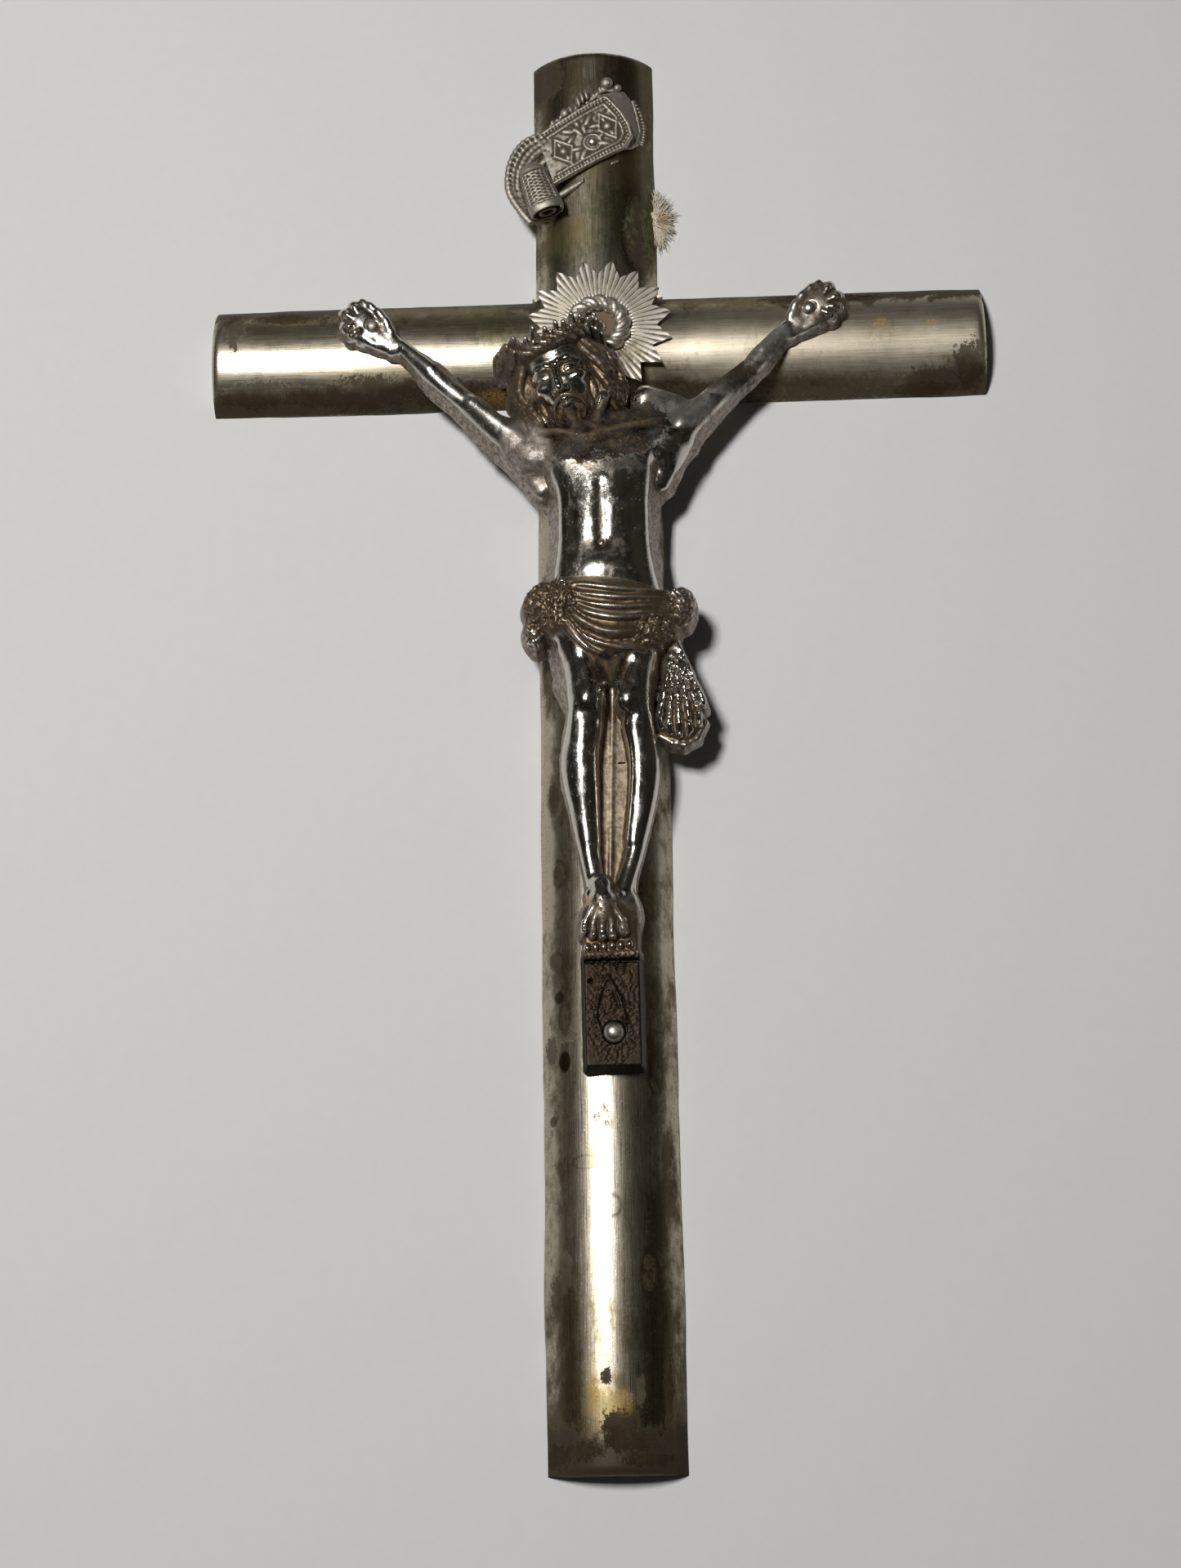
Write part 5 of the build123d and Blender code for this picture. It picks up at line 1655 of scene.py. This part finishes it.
RUST = [(1.6, -208.5, 1.8, 2.2), (57.5, 1.0, 1.4, 1.2), (67.5, 0.8, 1.2, 0.7),
        (-20.0, -10.4, 5.0, 1.2), (-4.0, -207.0, 1.0, 3.0)]


def shell_material():
    mat = Graph("aged_nickel_sheet")
    x, _, z = mat.xyz()
    on_bar = abs(z).ramp(11.6, 12.6, 1.0, 0.0) * abs(x).ramp(8.0, 12.5)
    # brushing along each beam, coarse and fine
    brush = mix_value(on_bar, mat.noise(1.0, 4.0, 0.6, stretch=(3.2, 3.2, 0.045)),
                      mat.noise(1.0, 4.0, 0.6, stretch=(0.045, 3.2, 3.2)))
    fine = mix_value(on_bar, mat.noise(1.0, 2.0, 0.5, (11.0, 11.0, 0.10), shift=(7, 3, 1)),
                     mat.noise(1.0, 2.0, 0.5, (0.10, 11.0, 11.0), shift=(7, 3, 1)))
    cloud = mat.noise(0.07, 5.0, 0.6, shift=(5, 1, 9))
    mottle = mat.noise(0.35, 6.0, 0.62, stretch=(1, 1, 0.6))
    blotch = mat.noise(0.9, 5.0, 0.6, stretch=(1, 1, 0.7), shift=(2, 6, 4))
    speck = mat.noise(2.6, 5.0, 0.72)
    off_bar = 1.0 - on_bar
    # tarnish on the bar's flanks and the foot; tarnish and painted shade on the head; painted shade
    # down the upright's sides, its right half and the lower shaft
    x_abs = abs(x)
    low_bar = (z + mottle.vary(7.0)).ramp(-6.6, -10.4)
    top_bar = (z + mottle.vary(6.0)).ramp(4.8, 9.2)
    edge_bar = on_bar * largest(low_bar, top_bar)
    rim = largest(off_bar * x_abs.ramp(9.0, 11.8), on_bar * abs(z).ramp(9.2, 11.4))
    t_bar = edge_bar * (x.ramp(10.0, -20.0) * 0.30 + top_bar * 0.20
                        + top_bar * x.ramp(10.0, 22.0) * 0.28 + 0.78)
    t_foot = (z + mottle.vary(14.0)).ramp(-207.0, -218.5, 0.0, 1.25)
    # tarnish and painted shade: the head of the upright darker, where little light reflects
    head_tarnish_shade = z.ramp(12.0, 26.0) * off_bar * 0.50
    # painted shade: dark bands down both sides of the upright, where the sheet reflects the dark
    # room, and its right half darker
    side_shade = (off_bar * x.ramp(3.5, 9.0) * 0.16
              + off_bar * x_abs.ramp(4.8, 7.4) * x_abs.ramp(11.2, 9.4) * 0.42)
    # painted shade: the shaft darker towards its foot, where its highlight fades
    shaft_fade_shade = z.ramp(-165.0, -212.0) * 0.50
    spots = mat.blobs(SHELL_SPOTS, soft=0.7)
    # tarnish, carrying the painted shade of the upright's head, sides and lower shaft
    tarnish_and_shade = (t_bar + t_foot + head_tarnish_shade + side_shade + shaft_fade_shade + rim * 0.10 + spots * 0.5
               + cloud.vary(1.6) + mottle.vary(1.5) + blotch.vary(0.9)).ramp(0.06, 0.85)
    # heavy tarnish, carrying the painted shade of the upright's head
    heavy_tarnish_and_shade = (t_foot + t_bar * 0.80 + head_tarnish_shade * 0.55 + rim * 0.12 + spots * 0.62
             + speck.vary(1.15) + blotch.vary(0.7)).ramp(0.42, 0.98)
    # stains with ragged borders
    ragged = mottle.vary(3.4) + blotch.vary(5.0) + speck.vary(5.0) + -0.35

    def stains(places, soft):
        return largest(*[(off_centre(x, z, spot) + ragged).ramp(1.0 - soft, 1.0 + soft, 1.0, 0.0)
                         for spot in places])

    outside = mat.facing().ramp(-0.05, 0.02)
    dark = stains(DARK_STAINS, soft=0.25) * outside
    olive = stains(OLIVE_STAINS, soft=0.6) * outside
    col = mix_color(brush.ramp(0.35, 0.65), (0.56, 0.500, 0.385), (0.66, 0.595, 0.465))
    # the tarnish colours also paint the shade on the upright's head, sides and lower shaft
    for mask, pattern, first, second in (
            (tarnish_and_shade, blotch, (0.108, 0.084, 0.046), (0.225, 0.184, 0.110)),
            (heavy_tarnish_and_shade, speck, (0.040, 0.030, 0.020), (0.085, 0.062, 0.040)),
            (olive * 0.5, blotch, (0.22, 0.165, 0.062), (0.40, 0.325, 0.155)),
            (dark * 0.85, blotch, (0.016, 0.011, 0.007), (0.070, 0.048, 0.026))):
        col = mix_color(mask, col, mix_color(pattern, first, second))
    green = mat.blobs(VERDIGRIS, soft=0.8)
    col = mix_color(green * blotch.ramp(0.42, 0.60) * 0.55, col, (0.20, 0.235, 0.085))
    rusty = mat.blobs(RUST, soft=0.8) * speck.ramp(0.42, 0.66)
    col = mix_color(rusty, col, (0.45, 0.26, 0.05))
    # small dark pits everywhere, crowded along the rims
    pits = (speck + rim * 0.07 + tarnish_and_shade * 0.03).ramp(0.625, 0.70)
    col = mix_color(pits * 0.75, col, (0.07, 0.05, 0.03))

    # dark drops and two faint rings on the shaft
    def outline(spot, width):
        return abs(off_centre(x, z, spot).sqrt() - 1.0).ramp(width, 0.0)

    marks = largest(mat.blob(-8.3, -147.2, 1.1, 2.0, soft=0.4) * 0.95,
                    mat.blob(-9.2, -135.0, 0.9, 1.2, soft=0.5) * 0.9,
                    mat.blob(-10.6, -158.0, 0.7, 1.0, soft=0.5) * 0.8,
                    outline((0.2, -174.0, 1.5, 1.9), width=0.35) * 0.55,
                    outline((-4.6, -166.0, 2.4, 1.2), width=0.25) * 0.35)
    col = mix_color(marks, col, (0.06, 0.038, 0.02))
    right_arm = on_bar * x.ramp(6.0, 30.0)
    metal = 1.0 - largest(heavy_tarnish_and_shade * 0.75, rusty * 0.7, pits * 0.5, dark * 0.8)
    spec = 0.5 - largest(dark * 0.38, heavy_tarnish_and_shade * 0.32)
    rough = (0.285 + right_arm * 0.11 + dark * 0.34 + olive * 0.05 + on_bar * 0.03
             + off_bar * x_abs.ramp(10.0, 11.4) * 0.26 + fine.vary(0.30) + tarnish_and_shade * 0.08
             + heavy_tarnish_and_shade * 0.15 + rusty * 0.2 + speck.vary(0.10) + mottle.vary(0.14))
    # the inside is bare and dull
    inside = mat.facing().ramp(0.02, -0.05)
    bare = mix_color(mottle, (0.20, 0.175, 0.135), (0.36, 0.335, 0.285))
    col = mix_color(inside, col, bare)
    rough = mix_value(inside, rough, 0.5)
    height = (brush * 0.30 + fine * 0.60 + speck * 0.40 + heavy_tarnish_and_shade * -0.25 + mottle * 0.5
              + pits * -0.3)
    return mat.finish(col, rough, metal, height, strength=0.30, distance=0.00006, spec=spec)


# neglected places on the figure, with their weight: between the legs, hands, feet, arms,
# loincloth, groin, waist, chest, arms at large
NEGLECTED = [
    (1.7, -80.0, 1.8, 10.0, 0.15), (1.4, -104.0, 1.6, 14.0, 0.15), (45.0, 3.0, 8.0, 8.0, 0.32),
    (-46.0, 3.0, 7.0, 7.0, 0.10), (0.5, -124.5, 6.5, 5.5, 0.52), (22.0, -11.5, 13.0, 3.6, 0.62),
    (-26.0, -9.0, 9.0, 2.2, 0.15), (8.5, -66.5, 5.0, 4.0, 0.36), (-9.5, -60.0, 6.0, 5.5, 0.32),
    (1.0, -62.5, 13.0, 6.0, 0.16), (1.5, -72.5, 3.4, 3.0, 0.3), (0.8, -53.0, 11.0, 3.0, 0.12),
    (0.9, -31.6, 11.0, 2.6, 0.42), (1.6, -94.0, 2.0, 24.0, 0.20),
    (-27.0, -16.0, 15.0, 12.0, 0.16), (27.0, -13.0, 15.0, 12.0, 0.22)]


def corpus_material():
    mat = Graph("cast_nickel_patinated")
    relief, cav, cavw, walls = map(mat.attr, ("relief", "cav", "cavw", "wall"))
    x, y, z = mat.xyz()
    mid = mat.noise(0.9, 5.0, 0.62)
    fine = mat.noise(3.0, 5.0, 0.65, shift=(3, 8, 2))
    broad = mat.noise(0.25, 3.0, 0.5, shift=(9, 2, 4))
    streak = mat.noise(0.55, 6.0, 0.68, stretch=(1, 1, 0.55), shift=(1, 7, 3))
    # the cavity attributes are negative inside hollows
    hollow = (cav + fine.vary(0.10)).ramp(-0.02, -0.15)
    wide = cavw.ramp(-0.03, -0.30)
    ridge = cav.ramp(0.05, 0.22)
    wall = (walls + mid.vary(0.25)).ramp(0.35, 0.75)
    places = largest(*[mat.blob(*spot, soft=0.8) * weight for *spot, weight in NEGLECTED])
    dirt = (relief * 0.85 + hollow * 0.75 + wide * 0.38 + places
            + ridge * relief.ramp(0.45, 0.68, -0.60, -0.26) + mid.vary(1.0) + broad.vary(0.6)
            + 0.02)
    # tan film on the neck and upper chest, the feet and the groin
    film = largest(mat.blob(-0.5, -25.4, 13.0, 6.4, soft=0.4),
                   mat.blob(7.0, -21.5, 8.0, 4.6, soft=0.5) * 1.0,
                   mat.blob(0.6, -123.0, 5.5, 5.0, soft=0.5) * 0.42,
                   mat.blob(1.8, -73.0, 3.0, 3.4, soft=0.6) * 0.9)
    film = (film + mid.vary(2.0) + fine.vary(0.7) + broad.vary(0.8)).ramp(0.30, 0.74)
    # and along the right arm
    sleeve = largest(mat.blob(15.5, -18.5, 7.0, 4.6, soft=0.7),
                     mat.blob(24.0, -11.4, 7.5, 4.6, soft=0.7),
                     mat.blob(33.0, -4.0, 6.0, 4.8, soft=0.7) * 0.8)
    sleeve = (sleeve + mid.vary(0.9) + fine.vary(0.25)).ramp(0.10, 0.95)
    film = largest(film, sleeve * 0.80)
    block = (z + fine.vary(0.6)).ramp(-128.2, -129.2)
    patina = dirt.ramp(0.20, 0.88)
    col = mix_color(patina, mix_color(mid, (0.67, 0.64, 0.585), (0.55, 0.515, 0.455)),
                    mix_color(fine, (0.070, 0.046, 0.028), (0.19, 0.138, 0.082)))
    film_tone = (fine.vary(0.8) + mid.vary(1.8) + cav.ramp(-0.05, 0.16) * 0.45
                 + x.ramp(9.5, 14.0, 0.06, -0.30))
    col = mix_color(film * 0.96, col,
                    mix_color(film_tone, (0.010, 0.006, 0.004), (0.19, 0.122, 0.060)))
    # dull walls and the side of the left shoulder
    wall_col = mix_color((mid * 0.9 + fine * 0.6).ramp(0.55, 0.95), (0.50, 0.44, 0.395),
                         (0.16, 0.12, 0.085))
    shoulder = mat.blob(-14.6, -29.5, 5.4, 7.6, soft=0.5) * (mid + fine * 0.3).ramp(0.40, 0.56)
    dull = largest(wall * (1.0 - patina * 0.65), shoulder * 0.9)
    col = mix_color(dull, col, wall_col)
    # the low web between the legs is matt and tan
    web = (mat.blob(1.7, -96.0, 4.4, 27.0, soft=0.3)
           * (y * -1.0).ramp(CROWN + 3.4, CROWN + 2.6))
    web_col = mix_color((mid + fine.vary(0.6)).ramp(0.35, 0.65), (0.215, 0.168, 0.108),
                        (0.085, 0.060, 0.034))
    col = mix_color(web * 0.9, col, web_col)
    # the block is nearly black
    col = mix_color(block * 0.96, col,
                    mix_color(fine, (0.008, 0.005, 0.003), (0.026, 0.016, 0.010)))
    # orange mark on the upper foot
    mark = mat.blob(-4.4, -118.6, 2.2, 1.0, soft=0.6) * fine.ramp(0.42, 0.58)
    col = mix_color(mark, col, (0.50, 0.20, 0.045))
    # a thin haze breaks up the polish
    haze = (streak + fine.vary(0.35)).ramp(0.46, 0.68)
    left_arm = mat.blob(-27.0, -14.0, 17.0, 16.0, soft=0.4)
    hands = mat.blobs([(-45.5, 2.5, 8.0, 8.5), (43.5, 3.0, 8.0, 8.5)], soft=0.4)
    rough = (0.135 + left_arm * 0.10 + hands * 0.09 + haze * 0.17 + patina * 0.24 + film * 0.40
             + fine.vary(0.08))
    rough = mix_value(dull, rough, 0.42 + fine * 0.20)
    rough = mix_value(web, rough, 0.36 + fine * 0.16)
    rough = mix_value(block, rough, 0.34 + fine * 0.16)
    metal = 1.0 - largest(patina * 0.35, film * 0.80, dull * 0.25, block * 0.40, web * 0.35)
    spec = 0.5 - largest(block * 0.40, film * 0.34, patina * 0.15)
    height = (fine * 0.45 + mid * 0.6 + mat.noise(7.0, 3.0, 0.6) * 0.2 + patina * 0.2
              + dull * fine * 1.6)
    return mat.finish(col, rough, metal, height, strength=0.30, distance=0.00013, spec=spec)


def scroll_material():
    mat = Graph("scroll_pewter")
    relief, cav, cavw = map(mat.attr, ("relief", "cav", "cavw"))
    mid = mat.noise(0.8, 5.0, 0.62)
    fine = mat.noise(3.2, 5.0, 0.68, shift=(3, 8, 2))
    hollow = (cav + fine.vary(0.10)).ramp(0.03, -0.10)
    wide = cavw.ramp(0.06, -0.22)
    ridge = cav.ramp(0.04, 0.2)
    dirt = relief * 0.5 + hollow * 0.8 + wide * 0.4 + ridge * -0.7 + mid.vary(0.8) + 0.12
    patina = dirt.ramp(0.25, 0.9)
    clean = mix_color(mid, (0.52, 0.485, 0.42), (0.40, 0.365, 0.305))
    return mat.finish(mix_color(patina, clean, (0.115, 0.09, 0.06)),
                      rough=0.58 + patina * 0.22 + fine.vary(0.14),
                      metal=1.0 - patina * 0.4,
                      height=fine * 0.5 + mat.noise(8.0, 3.0, 0.6) * 0.3 + mid * 0.3,
                      strength=0.4, distance=0.00012)


def halo_material():
    mat = Graph("dull_pewter_plate")
    mid = mat.noise(0.5, 5.0, 0.62)
    fine = mat.noise(3.5, 5.0, 0.68, shift=(3, 8, 2))
    x, y, z = mat.xyz()
    depth = y * -1.0 - CROWN
    radius = ((x - HALO_X) ** 2.0 + (z - HALO_Z) ** 2.0).sqrt()
    # dirt lies between the ribs and inside the rope; surfaces that face sideways are made darker as
    # well
    low = largest(depth.ramp(0.70, 0.50), radius.ramp(6.2, 4.6) * 1.3)
    dirt = low * 0.72 + mid.vary(1.0) + fine.vary(0.5) + 0.0
    side = mat.facing().ramp(0.45, 0.2)
    patina = largest(dirt.ramp(0.15, 0.85), side * 0.85)
    col = mix_color(patina, mix_color(mid, (0.95, 0.90, 0.80), (0.84, 0.785, 0.685)),
                    (0.16, 0.12, 0.078))
    stain = mat.blob(7.0, -4.0, 4.0, 3.0, soft=0.7) * mid.ramp(0.4, 0.6)
    return mat.finish(mix_color(stain * 0.6, col, (0.20, 0.15, 0.05)),
                      rough=0.50 + patina * 0.10 + fine.vary(0.14),
                      metal=0.75 - patina * 0.20,
                      height=fine * 0.5 + mat.noise(8.0, 3.0, 0.6) * 0.3,
                      strength=0.4, distance=0.0001)


def worn_metal(name, light, dark, rough, scale, rust=0.0):
    mat = Graph(name)
    mid = mat.noise(scale, 5.0, 0.6)
    fine = mat.noise(scale * 5, 4.0, 0.65, shift=(4, 4, 1))
    worn = (mid + fine.vary(0.4)).ramp(0.45, 0.68)
    col = mix_color(worn, light, dark)
    if rust:
        col = mix_color(fine.ramp(0.56, 0.7) * rust, col, (0.24, 0.10, 0.035))
    return mat.finish(col, rough=rough + worn * 0.2 + fine.vary(0.12),
                      metal=1.0 - worn * 0.3,
                      height=fine * 0.5 + mat.noise(scale * 14, 2.0, 0.5) * 0.4,
                      strength=0.3, distance=0.00008)


def fibre_material():
    """Pale fibres, brown at the heart of the tuft."""
    mat = Graph("frayed_fibre")
    mid = mat.noise(1.3, 3.0, 0.6)
    x, _, z = mat.xyz()
    heart = off_centre(x, z, (14.0, 29.6, 1.2, 1.6)).ramp(1.5, 0.3)
    core = heart * mid.ramp(0.3, 0.7, 0.5, 1.0)
    col = mix_color(mid, (0.80, 0.735, 0.61), (0.60, 0.525, 0.395))
    return mat.finish(mix_color(core * 0.8, col, (0.40, 0.205, 0.07)), rough=0.85, metal=0.0,
                      height=mat.noise(9.0, 3.0, 0.6), strength=0.5, distance=0.00005, spec=0.2)


def paper_material():
    """Pale sheet, see-through from behind."""
    mat = Graph("pale_backing")
    paper = mat.node("ShaderNodeBsdfPrincipled")
    mat.put(paper.inputs["Base Color"],
            mix_color(mat.noise(0.35, 5.0, 0.6), (0.80, 0.795, 0.785), (0.76, 0.755, 0.745)))
    paper.inputs["Roughness"].default_value = 0.9
    mat.bump(paper, mat.noise(1.2, 4.0, 0.6), strength=0.2, distance=0.0001)
    both = mat.node("ShaderNodeMixShader")
    mat.link(mat.node("ShaderNodeNewGeometry").outputs["Backfacing"], both.inputs[0])
    mat.link(paper.outputs[0], both.inputs[1])
    mat.link(mat.node("ShaderNodeBsdfTransparent").outputs[0], both.inputs[2])
    mat.link(both.outputs[0], mat.out.inputs["Surface"])
    return mat.mat


def wear(ob, mat):
    ob.data.materials.clear()
    ob.data.materials.append(mat)


figure_mat = corpus_material()
for piece in pieces:
    wear(piece, figure_mat)
wear(shell_ob, shell_material())
wear(halo_ob, halo_material())
wear(rope_ob, worn_metal("rope_pewter", light=(0.74, 0.70, 0.62), dark=(0.30, 0.245, 0.17),
                         rough=0.42, scale=0.9))
wear(scroll_ob, scroll_material())
wear(cord_ob, fibre_material())
# looks of the CAD pieces that stay, by the start of their names
CAD_LOOK = {
    "rivet": worn_metal("rivet_nickel", light=(0.80, 0.76, 0.68), dark=(0.42, 0.36, 0.28),
                        rough=0.30, scale=0.5),
    "washer": worn_metal("washer_steel", light=(0.42, 0.40, 0.37), dark=(0.15, 0.11, 0.08),
                         rough=0.4, scale=0.8, rust=0.8),
    "hanger_strap": worn_metal("hanger_steel", light=(0.40, 0.38, 0.35), dark=(0.14, 0.11, 0.08),
                               rough=0.38, scale=0.5, rust=0.9),
    "hanger_ring": worn_metal("ring_wire", light=(0.58, 0.47, 0.27), dark=(0.21, 0.15, 0.07),
                              rough=0.27, scale=0.6),
}
for ob in list(bpy.data.objects):
    for key, look in CAD_LOOK.items():
        if ob.type == "MESH" and ob.name.startswith(key):
            wear(ob, look)


# =================================================================================================
# Stage: pale backing sheet, soft light, camera
# =================================================================================================
def backing():
    """Sheet just behind the cross, with a cross-shaped hole a little smaller than its outline."""
    inside, far = 2.2, 700
    x_line = [-far, -ARM + inside, -UP_HALF + inside, UP_HALF - inside, ARM - inside, far]
    z_line = [-far, -BOTTOM + inside, -BAR_HALF + inside, BAR_HALF - inside, TOP - inside, far]
    hole = {(2, 1), (1, 2), (2, 2), (3, 2), (2, 3)}
    verts = [(x, 0.25, z) for x in x_line for z in z_line]
    faces = [(i * 6 + j, (i + 1) * 6 + j, (i + 1) * 6 + j + 1, i * 6 + j + 1)
             for i in range(5) for j in range(5) if (i, j) not in hole]
    ob = mesh_object("stage_backing", np.array(verts) * 0.001, np.array(faces), smooth=False)
    wear(ob, paper_material())
    return ob


def area(name, location, width, height, watts, colour=(1, 1, 1)):
    """Rectangular light aimed at the middle of the figure."""
    light = bpy.data.lights.new(name, "AREA")
    light.shape = "RECTANGLE"
    light.size, light.size_y = width, height
    light.energy, light.color = watts, colour
    light.spread = math.radians(180)
    ob = link_object(name, light)
    ob.location = location
    aim = Vector((0, 0, -0.06)) - Vector(location)
    ob.rotation_euler = aim.to_track_quat("-Z", "Y").to_euler()
    return ob


sheet_ob = backing()
key = area("key_strip", (-0.255, -0.850, 0.030), width=0.13, height=0.18, watts=5.9,
           colour=(1.0, 0.99, 0.975))
fill = area("fill_soft", (-0.30, -1.10, -0.10), width=0.7, height=0.7, watts=0.10,
            colour=(0.98, 0.98, 1.0))
fill.visible_glossy = False
back = area("back_low", (0.25, 0.60, 0.35), width=0.5, height=0.5, watts=5.0)


def build_world():
    """Grey to the camera, dim cloudy patches in reflections, faint even light otherwise."""
    world = bpy.data.worlds.new("studio")
    bpy.context.scene.world = world
    world.use_nodes = True
    nodes, link = world.node_tree.nodes, world.node_tree.links.new
    nodes.clear()

    def background(colour, strength):
        n = nodes.new("ShaderNodeBackground")
        n.inputs[0].default_value = colour + (1.0,)
        n.inputs[1].default_value = strength
        return n

    def choose(factor, first, second):
        n = nodes.new("ShaderNodeMixShader")
        for socket, source in zip(n.inputs, (factor, first, second)):
            link(source, socket)
        return n.outputs[0]

    out = nodes.new("ShaderNodeOutputWorld")
    rays = nodes.new("ShaderNodeLightPath")
    ambient = background((0.97, 0.98, 1.0), strength=0.014)
    glossy = background((1.0, 1.0, 1.0), strength=1.0)
    seen = background((0.80, 0.80, 0.80), strength=0.75)
    clouds = nodes.new("ShaderNodeTexNoise")
    clouds.inputs["Scale"].default_value = 2.4
    clouds.inputs["Detail"].default_value = 2.0
    link(nodes.new("ShaderNodeTexCoord").outputs["Generated"], clouds.inputs["Vector"])
    ramp = nodes.new("ShaderNodeValToRGB")
    low, high = ramp.color_ramp.elements
    low.position, low.color = 0.40, (0.006, 0.005, 0.004, 1.0)
    high.position, high.color = 0.68, (0.050, 0.043, 0.034, 1.0)
    link(clouds.outputs[0], ramp.inputs[0])
    link(ramp.outputs[0], glossy.inputs[0])
    unseen = choose(rays.outputs["Is Glossy Ray"], ambient.outputs[0], glossy.outputs[0])
    link(choose(rays.outputs["Is Camera Ray"], unseen, seen.outputs[0]), out.inputs[0])


def build_camera():
    """Camera in front of the lower shaft, looking up."""
    data = bpy.data.cameras.new("view")
    data.sensor_width = 36.0
    data.lens = 54.17821782
    data.clip_start, data.clip_end = 0.01, 20.0
    camera = link_object("view", data)
    bpy.context.scene.camera = camera
    pitch, yaw, roll = math.radians(16.83), math.radians(-2.0), math.radians(-0.91)
    forward = Vector((math.sin(yaw) * math.cos(pitch), math.cos(yaw) * math.cos(pitch),
                      math.sin(pitch)))
    right = forward.cross(Vector((0, 0, 1))).normalized()
    up = right.cross(forward)
    rolled_right = right * math.cos(roll) + up * math.sin(roll)
    rolled_up = up * math.cos(roll) - right * math.sin(roll)
    matrix = Matrix((rolled_right, rolled_up, -forward)).transposed().to_4x4()
    matrix.translation = Vector((0.0124, -0.4378, -0.2246))
    camera.matrix_world = matrix


build_world()
build_camera()
view = bpy.context.scene.view_settings
view.view_transform = "Standard"
view.look = "None"
view.exposure = 0.0
view.gamma = 1.0
